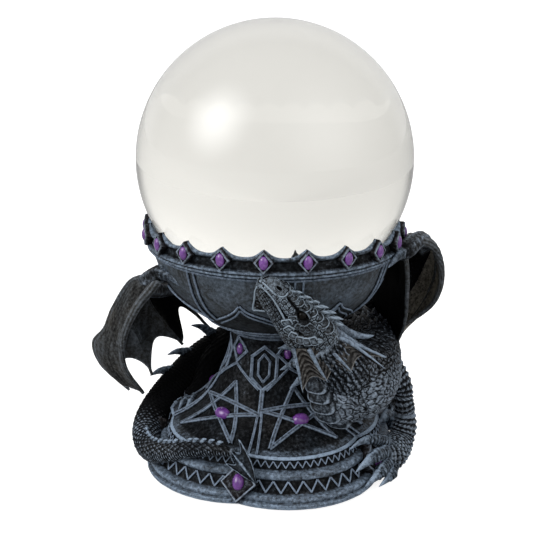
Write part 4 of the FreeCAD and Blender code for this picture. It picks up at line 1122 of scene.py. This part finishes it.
# ---- Dragon: wings -----------------------------------------------------------------------------
LEFT_WRIST = (-43.0, -20.0, 85.0)
LEFT_FINGERS = [
    [(-47.6, -16.5, 78.5), (-55.0, -13.0, 68.0), (-60.5, -8.5, 55.0), (-61.8, -5.0, 45.0),
     (-60.2, -2.0, 36.5), (-54.4, 3.5, 25.5)],
    [(-51.5, -11.0, 81.0), (-58.4, -4.0, 76.0), (-66.0, 2.0, 63.0), (-70.0, 5.5, 53.5), (-75.5, 9.0, 45.5),
     (-72.0, 9.0, 35.5), (-60.5, 6.5, 25.5)],
    [(-51.0, -5.0, 79.0), (-59.0, 6.0, 70.0), (-61.5, 14.0, 57.0), (-57.0, 18.0, 44.0), (-51.8, 17.0, 28.5)],
    [(-50.0, 2.0, 77.0), (-54.0, 13.0, 70.0), (-53.0, 21.0, 60.0), (-47.0, 26.0, 49.0), (-39.3, 28.5, 38.5)],
    [(-47.0, 10.0, 75.0), (-46.0, 21.0, 70.0), (-41.0, 30.0, 61.0), (-35.0, 35.0, 52.0), (-28.0, 38.0, 43.0)]]
LEFT_SCALLOPS = [(0.96, 1.0), (0.86, 1.0), (0.87, 1.0), (0.80, 2.1)]
RIGHT_WRIST = (51.5, -15.0, 94.0)
RIGHT_FINGERS = [
    [(58.0, -8.0, 96.5), (66.0, 0.0, 90.5), (70.0, 8.0, 76.0), (67.0, 13.0, 63.0), (56.0, 14.0, 53.5)],
    [(58.0, 0.0, 96.0), (67.0, 12.0, 88.5), (69.5, 20.0, 75.0), (65.0, 23.5, 60.0), (53.5, 22.0, 44.0)],
    [(56.0, 6.0, 94.5), (62.0, 20.0, 87.0), (62.5, 29.0, 74.0), (57.5, 32.0, 60.0), (46.0, 31.0, 42.0)],
    [(50.0, 8.0, 91.0), (45.5, 18.0, 86.0), (43.0, 20.0, 78.0), (42.0, 21.0, 69.0), (44.0, 20.0, 60.0),
     (47.5, 17.0, 52.0)],
    [(52.5, -13.0, 89.0), (53.3, -12.5, 82.0), (53.5, -12.0, 74.0), (53.8, -9.0, 65.0), (52.6, -5.0, 56.0),
     (50.5, -4.0, 50.0)]]
RIGHT_SCALLOPS = [(0.94, 1.0), (0.90, 1.0), (0.97, 1.0), (1.0, 1.0)]


# Points along each finger, and columns of web from one finger to the next
STATIONS, WEB_COLUMNS = 90, 20


def make_wing(side_name, wrist, fingers, scallops, hollow, radii, material, outside, inside, last, deep):
    """Web stretched between fingers; radii holds each finger's thickness. outside and inside are the extra
    paint on the two faces, used as painted light where an inner face lies in shade; last and deep are painted
    shade on those faces of the last web."""
    curves = [resample([wrist] + f, STATIONS) for f in fingers]
    columns, share = [], []
    for i, (depth, skew) in enumerate(scallops):
        last_web = i == len(scallops) - 1
        for k in range(WEB_COLUMNS + last_web):
            w = k / WEB_COLUMNS
            middle = math.sin(math.pi * w)
            top = 0.985 * (1 - (1 - depth) * max(math.sin(math.pi * w ** skew), 0.0) ** 0.75)
            v = np.linspace(0.12, top, STATIONS) * (STATIONS - 1)
            p = at_index(curves[i], v) * (1 - w) + at_index(curves[i + 1], v) * w
            columns.append(p + unit(p - vec(hollow)) * (0.8 * middle))
            share.append(middle)
    grid = np.array(columns)
    du, dv = np.gradient(grid, axis=0), np.gradient(grid, axis=1)
    nrm = unit(np.cross(du, dv))
    if np.mean(np.sum(nrm * (grid - vec(hollow)), -1)) < 0:
        nrm = -nrm
    u = np.arange(len(columns))[:, None]
    fine = 0.22 * np.sin(u * 2 * math.pi / 2.9 + 1.6 * noise3(grid, 9.0, 81)) + 0.25 * noise3(grid, 2.2, 82)
    fold = noise3(grid * (1.0, 1.0, 0.35), 5.0, 86)
    outer = grid + nrm * (0.55 + 0.30 * fine + 0.25 * fold)[..., None]
    inner = grid - nrm * (0.55 - 0.30 * noise3(grid * (1.0, 1.0, 0.4), 2.6, 83))[..., None]
    open_part = np.array(share)[:, None]
    final = smoothstep(u, len(columns) - WEB_COLUMNS - 4.0, len(columns) - WEB_COLUMNS + 2.0)
    paint = 0.30 * noise3(grid * (1.0, 1.0, 0.3), 3.5, 84) - 0.20 * open_part + 0.05
    ring = np.concatenate([outer, inner[:, ::-1]], 1)
    # per face: inside adds painted light on shaded inner faces, last and deep add painted shade on the last
    # web
    value = np.concatenate([paint + outside + last * final, paint[:, ::-1] + inside + deep * final], 1)
    value[:, STATIONS - 1] = 0.75
    value[:, STATIONS] = 0.4
    sheet = Sheet()
    sheet.grid(ring, value, wrap=True, caps=("zip", "zip"))
    build(side_name + "_wing_web", sheet, material, side_name + "_wing_membrane",
          shape_paint=0.55)
    sheet = Sheet()
    for c, radius in zip(curves, radii):
        t = np.linspace(0, 1, STATIONS)
        route = np.column_stack([c, radius * (1 - 0.62 * t ** 1.3)])[4:]

        def skin(s, ang, r, pts):
            waver = 1.2 * noise3(pts * (1.0, 1.0, 0.3), 6.0, 87)
            lengthwise = 0.08 * np.cos(ang * 7 + waver) * np.clip(r / 1.5, 0.2, 1.2)
            return lengthwise + 0.08 * noise3(pts * (1.0, 1.0, 0.3), 1.2, 85), 0.10 + 0.55 * lengthwise
        tube(sheet, route, 40, 0.45, skin, up=unit(c[0] - vec(hollow)))
    build(side_name + "_wing_ribs", sheet, SKIN, side_name + "_wing_fingers",
          shape_paint=0.45)


LEFT_ARM = [(16.0, 45.5, 55.0, 6.4), (3.0, 50.0, 61.0, 5.0), (-14.0, 50.5, 62.5, 4.4),
            (-30.0, 44.0, 62.5, 4.2), (-42.5, 30.0, 64.5, 3.8), (-50.5, 10.0, 69.5, 3.5),
            (-51.5, -7.0, 77.5, 3.4), (-44.5, -18.5, 85.0, 3.2), (-41.5, -21.0, 85.6, 1.6)]
RIGHT_ARM = [(42.0, 22.0, 55.0, 6.0), (55.0, 27.0, 67.0, 4.8), (61.5, 23.0, 81.0, 4.0),
             (61.5, 8.0, 91.5, 3.6), (57.5, -5.0, 96.0, 3.4), (51.5, -15.0, 94.5, 3.8),
             (49.0, -18.5, 94.0, 2.6)]
WING_THUMBS = [([(-44.0, -20.0, 85.5), (-39.0, -24.5, 84.5), (-33.5, -29.0, 82.0)], 2.6),
               ([(51.0, -16.0, 94.5), (48.0, -21.5, 93.5), (44.0, -26.5, 90.5)], 2.6)]


def make_wings():
    # Painted light lifts the inner faces, which lie in shade, and painted shade darkens the last web; the
    # right web uses a lighter copy of the wing paint as painted light
    make_wing("left", LEFT_WRIST, LEFT_FINGERS, LEFT_SCALLOPS, (-45, 5, 50), (2.0, 1.35, 1.6, 1.6, 1.6), SKIN,
              outside=0.0, inside=0.25, last=0.0, deep=-0.8)
    make_wing("right", RIGHT_WRIST, RIGHT_FINGERS, RIGHT_SCALLOPS, (60, -5, 72), (1.8, 1.8, 1.8, 1.1, 1.0),
              PAINTED_LIGHT_WING, outside=-0.38, inside=0.75, last=-0.9, deep=0.0)

    def smooth_wrist(s, ang, radius, pts, h, tint):
        share = s / s.max()
        bare = smoothstep(share, 0.42, 0.58)
        groove = 0.14 * np.cos(ang * 6 + 1.3 * noise3(pts, 6.0, 88)) + 0.12 * noise3(pts, 1.3, 89)
        tint = tint * (1 - bare) + (0.5 * groove + 0.05) * bare - 0.5 * smoothstep(share, 0.9, 1.0)
        return h * (1 - bare) + groove * bare, tint
    scaled_tube("left_wing_arm_hide", "left_wing_arm", LEFT_ARM, 100, 0.34, (2.4, 2.2, 0.5), 51, 0.4, 0.35,
                extra=smooth_wrist)

    # Painted shade on the right wing arm's half nearer the shoulder, which lies in shadow behind the cup
    def arm_painted_shade(s, ang, radius, pts, h, tint):
        h, tint = smooth_wrist(s, ang, radius, pts, 0.5 * h, tint)
        return h, tint - 0.9 * (1 - smoothstep(s / s.max(), 0.50, 0.62))
    scaled_tube("right_wing_arm_hide", "right_wing_arm", RIGHT_ARM, 100, 0.34, (2.4, 2.2, 0.5), 52, 0.4, 0.35,
                extra=arm_painted_shade)
    sheet = Sheet()
    for points, radius in WING_THUMBS:
        spike(sheet, points, radius, 28, 30, (-0.35, 0.45), power=0.75, flat=0.8)
    build("thumb_talons", sheet, CLAW, "wing_thumbs", shape_paint=0.5)


# ---- Dragon: head ----------------------------------------------------------------------------------
HEAD_BACK, HEAD_TIP, HEAD_ROLL = vec(17.8, -43.2, 67.0), vec(-5.8, -51.4, 90.2), 24.0
AHEAD = unit(HEAD_TIP - HEAD_BACK)
_left = unit(vec(0, -1, 0) - AHEAD * np.dot(AHEAD, vec(0, -1, 0)))
_top = np.cross(AHEAD, _left)
OUT = _left * math.cos(math.radians(HEAD_ROLL)) - _top * math.sin(math.radians(HEAD_ROLL))
UP = _top * math.cos(math.radians(HEAD_ROLL)) + _left * math.sin(math.radians(HEAD_ROLL))
# Sections: run from the back of the head, half width, lowest and highest point
SKULL = [(-6.0, 4.4, -5.0, 5.0), (0.0, 6.2, -4.4, 7.6), (6.0, 6.9, -3.0, 8.8), (12.0, 6.5, -1.6, 8.8),
         (17.0, 5.6, -0.2, 8.2), (22.0, 4.8, 1.0, 7.5), (26.5, 4.2, 1.9, 7.5), (30.0, 3.9, 2.5, 7.2),
         (32.6, 3.3, 2.4, 5.9), (34.4, 2.3, 1.5, 4.2), (35.6, 0.9, 0.6, 2.4)]
JAW = [(-4.0, 5.0, -12.6, -2.0), (2.0, 5.6, -11.6, -1.2), (7.0, 5.6, -10.4, -0.8), (12.0, 5.2, -9.2, -0.5),
       (17.0, 4.6, -7.3, -0.2), (22.0, 3.9, -5.6, 0.5), (27.0, 3.2, -4.4, 1.4), (31.0, 2.5, -3.0, 2.0),
       (33.4, 1.5, -1.6, 1.4), (34.4, 0.5, -0.4, 0.6)]
SKULL_FINE, JAW_FINE = resample(SKULL, 160), resample(JAW, 160)
EYE_X, EYE_ANG = 16.2, 35.0
NOSTRIL_X, NOSTRIL_ANG = 29.8, 60.0


def head(x, y, z):
    """Point of the head's own frame: x forwards, y to its left, z upwards."""
    axes = zip((x, y, z), (AHEAD, OUT, UP))
    return HEAD_BACK + sum(np.multiply.outer(np.asarray(c, float), axis) for c, axis in axes)


def section_at(rows, x, ang, power):
    """Point of the head's skin: run x, angle from the cheek (0) over the brow (90 degrees)."""
    w, low, high = (np.interp(x, rows[:, 0], rows[:, k]) for k in (1, 2, 3))
    c, s = np.cos(np.radians(ang)), np.sin(np.radians(ang))
    y = w * np.sign(c) * np.abs(c) ** (2 / power)
    z = (low + high) / 2 + (high - low) / 2 * np.sign(s) * np.abs(s) ** (2 / power)
    return head(x, y, z)


def on_skull(x, ang):
    return section_at(SKULL_FINE, x, ang, 2.3)


def skull_out(x, ang):
    a = on_skull(x + 0.4, ang) - on_skull(x - 0.4, ang)
    b = on_skull(x, ang + 3) - on_skull(x, ang - 3)
    n = unit(np.cross(a, b))
    mid = head(x, 0 * x, np.interp(x, SKULL_FINE[:, 0], (SKULL_FINE[:, 2] + SKULL_FINE[:, 3]) / 2))
    return n if np.dot(n, on_skull(x, ang) - mid) > 0 else -n


def head_shell(sheet, rows, power, bump, count, around):
    x, ang = np.meshgrid(np.linspace(rows[0, 0], rows[-1, 0], count),
                         np.linspace(0, 360, around, endpoint=False), indexing="ij")
    pts = section_at(rows, x, ang, power)
    du, dv = np.gradient(pts, axis=0), np.roll(pts, -1, 1) - np.roll(pts, 1, 1)
    nrm = unit(np.cross(dv, du))
    mid = pts.mean(1, keepdims=True)
    if np.mean(np.sum(nrm * (pts - mid), -1)) < 0:
        nrm = -nrm
    h, tint = bump(x, ang, pts)
    pts = pts + nrm * h[..., None]
    sheet.grid(pts, tint, wrap=True, caps=(True, True), flip=True)


def from_cheek(ang):
    """Degrees above the nearer cheek line, from -90 to 90."""
    side = np.mod(ang + 180, 360) - 180
    return np.where(np.abs(side) <= 90, side, np.sign(side) * (180 - np.abs(side)))


def skull_bump(x, ang, pts):
    signed = from_cheek(ang)
    arc = np.radians(signed) * 5.5
    gap, ident = cobbles(x / 2.0, arc / 1.75 + 50, 91, 0.55)
    plates = 0.50 * smoothstep(gap, 0.0, 0.30) + 0.20 * ident
    fan = (1 - smoothstep(signed, 20.0, 34.0)) * smoothstep(x, 2.0, 5.0) * (1 - smoothstep(x, 18.0, 20.5))
    h = plates * (1 - 0.85 * fan)
    d = np.hypot(x - EYE_X, (signed - EYE_ANG) * 0.095)
    h = h * smoothstep(d, 2.2, 4.2) - 1.5 * np.exp(-(d / 2.2) ** 2)
    h = h + 0.5 * np.exp(-((x - EYE_X + 1.0) / 5.0) ** 2 - ((signed - 72) / 9.0) ** 2)
    line = 36.0 + (x - 18.0) * 2.4
    groove = np.exp(-((signed - line) / 10.0) ** 2)
    groove = groove * smoothstep(x, 16.5, 19.5) * (1 - smoothstep(x, 24.5, 27.0))
    h = h * (1 - groove) - 0.8 * groove
    nose = smoothstep(x, 26.0, 28.0) * smoothstep(signed, 18.0, 30.0)
    h = h * (1 - 0.85 * nose)
    pit = np.exp(-np.hypot((x - NOSTRIL_X) / 1.35, (signed - NOSTRIL_ANG) * 0.068 / 0.85) ** 4)
    tint = 0.10 * noise3(pts, 3.0, 94) - 0.5 * np.exp(-(d / 2.8) ** 2)
    tint = tint - 0.35 * groove + 0.22 * nose - 2.0 * pit
    return h + 0.2 * noise3(pts, 2.0, 93) - 1.1 * pit, tint


def jaw_bump(x, ang, pts):
    arc = np.radians(from_cheek(ang)) * 4.5
    gap, ident = cobbles(x / 1.5, arc / 1.45 + 50, 95, 0.65)
    h = (0.34 + 0.2 * ident) * smoothstep(gap, 0.0, 0.34)
    return h + 0.12 * noise3(pts, 2.0, 96), 0.06 * noise3(pts, 3.0, 97) - 0.03


INNER_PLATES = [(18.2, 3.6), (16.4, 2.7), (14.4, 2.6), (12.7, 3.5), (11.7, 5.0), (11.6, 6.8)]
OUTER_PLATES = [(17.9, 0.6), (15.2, -0.9), (12.2, -1.4), (9.3, -0.8), (7.2, 0.9), (6.0, 3.2)]


def skin_axes(x, ang):
    """Axes on the skull: backwards along the head, upwards round it, and outwards."""
    out = skull_out(x, ang)
    back = unit(-AHEAD + out * np.dot(AHEAD, out))
    return back, unit(np.cross(out, back)), out


def across_head(ang, sign):
    """Angle on the left side of the skull, or the same place on its right side."""
    return ang if sign > 0 else 180 - ang


def make_skull_and_jaw():
    skull, jaw = Sheet(), Sheet()
    head_shell(skull, SKULL_FINE, 2.3, skull_bump, 210, 190)
    build("skull_skin", skull, HEADP, "dragon_skull", shape_paint=0.6)
    head_shell(jaw, JAW_FINE, 2.2, jaw_bump, 190, 150)
    edge = resample([head(34.8, 0.4, 0.6), head(33.4, 0.6, -2.0), head(31.0, 0.8, -4.6),
                     head(27.6, 1.0, -8.6), head(26.2, 1.1, -7.4), head(24.4, 1.2, -5.4)], 40)
    root = resample([head(34.0, 0.3, 0.8), head(30.5, 0.4, -1.6), head(27.0, 0.6, -3.4),
                     head(23.6, 0.8, -4.6)], 40)
    share = np.linspace(0, 1, 19)[:, None]
    for sign in (1, -1):
        away = OUT * sign
        belly = 1.5 * np.sqrt(share) * (1 - 0.2 * share)
        stations = np.hstack([share, belly])
        rows = np.array([edge * (1 - t) + root * t + away * (0.12 + b) for t, b in stations])
        dots = noise3(rows, 0.75, 98)
        rows = rows + away * (0.22 * dots * smoothstep(share, 0.05, 0.2))[..., None]
        jaw.grid(rows, 0.75 * np.exp(-(share / 0.07) ** 2) - 0.22 + 0.30 * dots, flip=sign < 0)
    for sign in (1, -1):
        ribbon(jaw, edge + OUT * sign * 0.3, OUT * sign, 0.7, 0.6, edge=0.95, top=0.7)
    build("jaw_skin", jaw, HEADP, "dragon_jaw", shape_paint=0.42)


def make_face():
    scutes = Sheet()
    for sign in (1, -1):
        away = OUT * sign
        # lip: one raised edge from the beak to the corner of the mouth
        lip = [(35.5, 0.5, 1.6), (34.4, 2.1, 2.6), (32.0, 3.4, 3.4), (29.0, 4.0, 3.3), (25.5, 4.5, 2.5),
               (22.0, 5.0, 1.5), (18.8, 5.7, 0.6), (17.6, 5.9, 0.9)]
        path = resample([head(x, y * sign, z) for x, y, z in lip], 70)
        ribbon(scutes, path, away * 0.9 - UP * 0.05, 0.85, 0.65, edge=0.95, top=0.6, taper=(0.8, 1.0))
        # nose plate: its rim, then the oval opening with a swollen edge
        rim = [(35.2, 0.9, 3.2), (34.0, 2.3, 4.3), (32.2, 3.3, 4.9), (30.0, 3.9, 5.2), (28.0, 4.0, 5.8),
               (26.6, 3.4, 7.0), (26.2, 1.8, 7.9)]
        path = resample([head(x, y * sign, z) for x, y, z in rim], 50)
        ribbon(scutes, path, away * 0.85 + UP * 0.45, 0.7, 0.55, edge=0.9, top=0.6)
        ang = across_head(NOSTRIL_ANG, sign)
        out = skull_out(NOSTRIL_X, ang)
        side = unit(AHEAD - out * np.dot(AHEAD, out))
        c, s = np.cos(circle(36))[:, None], np.sin(circle(36))[:, None]
        path = on_skull(NOSTRIL_X, ang) - out * 0.1 + side * (1.5 * c) + np.cross(out, side) * (0.9 * s)
        ribbon(scutes, path, out, 0.4, 0.3, closed=True, edge=0.3, top=0.3)
    # brow scutes, front to back, each lapping over the one behind it
    for i in range(8):
        x = 25.2 - 2.95 * i
        grow = 0.58 + 0.085 * i
        for ang in (77.0 - 1.2 * i, 103.0 + 1.2 * i):
            back, up, out = skin_axes(x, ang)
            lifted = unit(out - back * 0.30)
            axis = unit(back - lifted * np.dot(back, lifted))
            pad(scutes, on_skull(x, ang) + out * (0.15 + 0.05 * i), np.cross(lifted, axis), axis, lifted,
                2.7 * grow, 1.75 * grow, 1.2, 0.45, 2.3, 34, tip=0.35, bend=0.55, lap=1.0)
    # cheek plates in a fan round the eye: a ring of wedges, then the large squarish ones
    for sign in (1, -1):
        for x, z in INNER_PLATES + OUTER_PLATES:
            w = float(np.interp(x, SKULL_FINE[:, 0], SKULL_FINE[:, 1]))
            place = head(x, sign * (w + 0.05 - 0.012 * (z - 2.5) ** 2), z)
            out = unit(OUT * sign + UP * 0.05 * (z - 2.5))
            radial = AHEAD * (x - EYE_X) + UP * (z - 6.4)
            radial = unit(radial - out * np.dot(radial, out))
            across = np.cross(radial, out)
            if (x, z) in OUTER_PLATES:
                pad(scutes, place, across, radial, out, 1.62, 2.25, 1.15, 0.22, 4.5, 36, tip=-0.10, bend=0.25,
                    paint=(0.8, 0.28))
            else:
                pad(scutes, place - out * 0.1, across, radial, out, 1.0, 1.75, 0.85, 0.2, 3.4, 28, tip=-0.30,
                    bend=0.15, paint=(0.35, -0.05))
        # swollen corner of the mouth, and the boss that the first ray springs from
        for x, z, size in ((17.8, 1.2, 1.25), (4.6, 5.0, 1.5)):
            w = float(np.interp(x, SKULL_FINE[:, 0], SKULL_FINE[:, 1]))
            place = head(x, sign * (w + 0.1), z)
            pad(scutes, place, AHEAD, UP, OUT * sign, size, size * 0.85, 0.9, -0.2, 2.0, 24,
                paint=(0.4, 0.75))
    # upper eyelid
    for sign in (1, -1):
        mid = EYE_ANG + 19 if sign > 0 else 161 - EYE_ANG
        path = [on_skull(EYE_X + 2.8 * c, mid - sign * 9 * c * c) + skull_out(EYE_X + 2.8 * c, mid) * 0.1
                for c in np.linspace(-1, 1, 9)]
        ribbon(scutes, resample(path, 24), skull_out(EYE_X, mid), 0.7, 0.6, edge=0.3, top=0.0)
    build("head_scutes", scutes, HEADP, shape_paint=0.12)

    eyes = Sheet()
    for sign in (1, -1):
        ang = across_head(EYE_ANG, sign)
        out = skull_out(EYE_X, ang)
        up = unit(np.cross(out, AHEAD))
        middle = on_skull(EYE_X, ang) - out * 0.55
        dome(eyes, middle, np.cross(up, out), up, out, 1.75, 1.5, 1.45, rows=12, cols=28, sink=1.0)
    build("eyeballs", eyes, EYE, "dragon_eyes")


def make_crest_and_horns():
    crest = Sheet()
    for i in range(13):
        size = 0.6 + 0.05 * i + 0.25 * (i % 2)
        root = on_skull(24.5 - 1.85 * i, 92.0 + 10 * (i % 2)) - UP * 0.3
        route = [root, root + UP * 1.9 * size - AHEAD * 0.4, root + UP * 3.3 * size - AHEAD * 1.9 * size]
        spike(crest, route, 0.85 * size + 0.2, 10, 12, (-0.1, 1.0), flat=0.7)
    build("crest_row", crest, HEADP, "crest_spikes", shape_paint=0.2)

    horns = Sheet()
    root, tip = vec(21.8, -40.6, 73.2), vec(38.6, -35.5, 66.0)
    route = [root, root * 0.62 + tip * 0.38 + vec(0, 0, -2.2),
             root * 0.22 + tip * 0.78 + vec(0, 0, -1.6), tip]
    spike(horns, route, 2.3, 22, 60, (-0.2, 0.55), power=0.55, ridges=0.035)
    root, tip = vec(24.4, -43.6, 69.8), vec(43.4, -38.4, 58.2)
    route = [root - (tip - root) * 0.15, root * 0.5 + tip * 0.5 + vec(-0.4, -0.6, -0.8), tip]
    spike(horns, route, 1.7, 20, 50, (0.0, 0.7), power=0.5, ridges=0.03)
    build("horn_pair", horns, CLAW, "dragon_horns", shape_paint=0.45)


# Rays of the cheek frill, root to tip, the topmost first. The far side has the first three.
FRILL = [((22.0, -46.2, 69.6), (33.0, -43.0, 64.2), (43.0, -39.2, 58.4)),
         ((18.0, -49.6, 68.2), (25.0, -48.6, 61.0), (30.2, -45.6, 54.6)),
         ((13.4, -50.2, 65.4), (17.4, -49.6, 57.6), (20.8, -47.0, 51.2)),
         ((7.6, -48.6, 65.0), (9.8, -48.4, 55.6), (11.6, -46.6, 46.6))]


def make_frill():
    spines, webs = Sheet(), Sheet()
    for mirror in (False, True):
        rays = [[vec(p) for p in ray] for ray in FRILL]
        if mirror:
            rays = [[p - 2 * OUT * np.dot(p - HEAD_BACK, OUT) * 0.92 for p in ray] for ray in rays[:3]]
        for k, ray in enumerate(rays):
            spike(spines, ray, 0.82 if k < 3 else 0.7, 12, 30, (0.35, 0.85), power=0.6)
        curves = [resample(r, 50) for r in rays]
        outward = OUT * (-1 if mirror else 1)
        run = np.linspace(0, 1, 48)
        for a, b in zip(curves, curves[1:]):
            cols, fold = [], []
            for w in np.linspace(0, 1, 26):
                middle = math.sin(math.pi * w)
                v = np.linspace(0.02, 0.95 - 0.20 * middle, 48) * 49
                p = at_index(a, v) * (1 - w) + at_index(b, v) * w
                waves = 0.36 * np.cos((run + 0.22 * middle) * 2 * math.pi * 5.5)
                cols.append(p - outward * (1.3 * middle * (0.4 + 0.6 * run))[:, None])
                fold.append(waves * smoothstep(middle, 0.0, 0.5))
            grid, fold = np.array(cols), np.array(fold)
            front = grid + outward * (0.3 + 0.42 * fold + 0.12 * noise3(grid, 1.3, 101))[..., None]
            rear = grid - outward * 0.5
            ring = np.concatenate([front, rear[:, ::-1]], 1)
            value = np.concatenate([0.35 * fold + 0.02, np.full(fold.shape, -0.4)], 1)
            value[:, 46:48] = 0.7
            webs.grid(ring, value, wrap=True, caps=("zip", "zip"), flip=mirror)
    build("frill_rays", spines, CLAW, "frill_spines", shape_paint=0.2)
    build("frill_webs", webs, WEB, "frill_membranes", shape_paint=0.4)


# ---- Floor, light, camera ----------------------------------------------------------------------
KEY = unit(vec(-0.71, -0.45, 0.54))
FILL = unit(vec(0.62, -0.62, 0.42))
CAMERA_AT, CAMERA_DOWN, CAMERA_ROLL = (-2.78, -470.45, 217.85), 16.018, 0.684
CAMERA_LENS, CAMERA_SENSOR = 81.147, 36.0


def make_stage():
    """White table; it glows a little to the eye, so that it clips to white without lighting the piece."""
    mesh = bpy.data.meshes.new("floor")
    mesh.from_pydata([(-12, -12, 0), (12, -12, 0), (12, 12, 0), (-12, 12, 0)], [], [(0, 1, 2, 3)])
    floor = bpy.data.objects.new("floor", mesh)
    bpy.context.scene.collection.objects.link(floor)
    mat, nt, bsdf = new_material("pale_floor")
    set_inputs(bsdf, Base_Color=(0.42, 0.42, 0.42, 1), Roughness=0.9, Specular_IOR_Level=0.1,
               Emission_Color=(1, 1, 1, 1))
    rays = nt.nodes.new("ShaderNodeLightPath").outputs
    place = nt.nodes.new("ShaderNodeSeparateXYZ")
    nt.links.new(nt.nodes.new("ShaderNodeTexCoord").outputs["Object"], place.inputs[0])
    across = maths(nt, "MINIMUM", maths(nt, "MAXIMUM", place.outputs["X"], -0.6), 0.6)
    seen = maths(nt, "MULTIPLY_ADD", across, 0.10, 0.365)
    through = maths(nt, "MULTIPLY", rays["Is Transmission Ray"], seen)
    glow = maths(nt, "MULTIPLY_ADD", rays["Is Camera Ray"], 0.85, through)
    nt.links.new(glow, bsdf.inputs["Emission Strength"])
    mesh.materials.append(mat)


def make_light():
    """Studio as a sky: white wall behind, dimmer sides and front, a soft lamp high on the left."""
    world = bpy.data.worlds.new("studio")
    bpy.context.scene.world = world
    world.use_nodes = True
    nt = world.node_tree
    way = nt.nodes.new("ShaderNodeTexCoord").outputs["Generated"]
    axes = nt.nodes.new("ShaderNodeSeparateXYZ")
    nt.links.new(way, axes.inputs[0])

    def fade(value, low, high, bottom, top):
        node = nt.nodes.new("ShaderNodeMapRange")
        node.interpolation_type = "SMOOTHSTEP"
        nt.links.new(value, node.inputs["Value"])
        set_inputs(node, From_Min=low, From_Max=high, To_Min=bottom, To_Max=top)
        return node.outputs["Result"]

    wall = fade(axes.outputs["Y"], 0.40, 0.72, 0.37, 0.93)
    through = fade(axes.outputs["Y"], 0.25, 0.60, 0.02, 0.975)
    through = maths(nt, "ADD", through, fade(axes.outputs["X"], -0.5, 0.5, -0.04, 0.04))
    through = maths(nt, "ADD", through, fade(axes.outputs["Z"], 0.0, 0.6, 0.0, 0.06))
    inside = nt.nodes.new("ShaderNodeLightPath").outputs["Is Transmission Ray"]
    wall = maths(nt, "MULTIPLY_ADD", maths(nt, "SUBTRACT", through, wall), inside, wall)
    top = fade(axes.outputs["Z"], 0.0, 0.85, 0.0, 0.50)

    def lamp(aim, width, strength):
        """Soft round lamp that fades to nothing where the cosine from its aim falls by 1 / width."""
        dot = nt.nodes.new("ShaderNodeVectorMath")
        dot.operation = "DOT_PRODUCT"
        nt.links.new(way, dot.inputs[0])
        dot.inputs[1].default_value = tuple(aim)
        near = maths(nt, "MAXIMUM", maths(nt, "MULTIPLY_ADD", dot.outputs["Value"], width, 1.0 - width), 0.0)
        return maths(nt, "MULTIPLY", maths(nt, "POWER", near, 3.0), strength)

    lamps = maths(nt, "ADD", lamp(KEY, 5.0, 7.0), lamp(FILL, 2.2, 1.5))
    total = maths(nt, "ADD", maths(nt, "ADD", wall, top), lamps)
    nt.links.new(total, nt.nodes["Background"].inputs["Strength"])
    nt.nodes["Background"].inputs["Color"].default_value = (1, 1, 1, 1)


def make_camera():
    cam = bpy.data.cameras.new("camera")
    cam.lens, cam.sensor_width = CAMERA_LENS, CAMERA_SENSOR
    obj = bpy.data.objects.new("camera", cam)
    place = Matrix.Translation(Vector(CAMERA_AT) * MM)
    tilt = Matrix.Rotation(math.radians(90 - CAMERA_DOWN), 4, "X")
    obj.matrix_world = place @ tilt @ Matrix.Rotation(math.radians(CAMERA_ROLL), 4, "Z")
    bpy.context.scene.collection.objects.link(obj)
    bpy.context.scene.camera = obj
    bpy.context.scene.view_settings.view_transform = "Standard"


make_ball()
make_felt()
make_plinth()
make_zigzag("lower_zigzag", "lower_zigzag_band", (6.2, 50.45, 10.3, 48.6), 9, 0.75, 0.7)
make_zigzag("upper_zigzag", "upper_zigzag_band", (14.5, 45.75, 16.9, 44.8), 15, 0.5, 0.55)
make_pedestal()
make_plates()
make_cup()
make_collar()
make_body()
make_limbs()
make_barb()
make_scutes()
make_wings()
make_skull_and_jaw()
make_face()
make_crest_and_horns()
make_frill()
make_stage()
make_light()
make_camera()
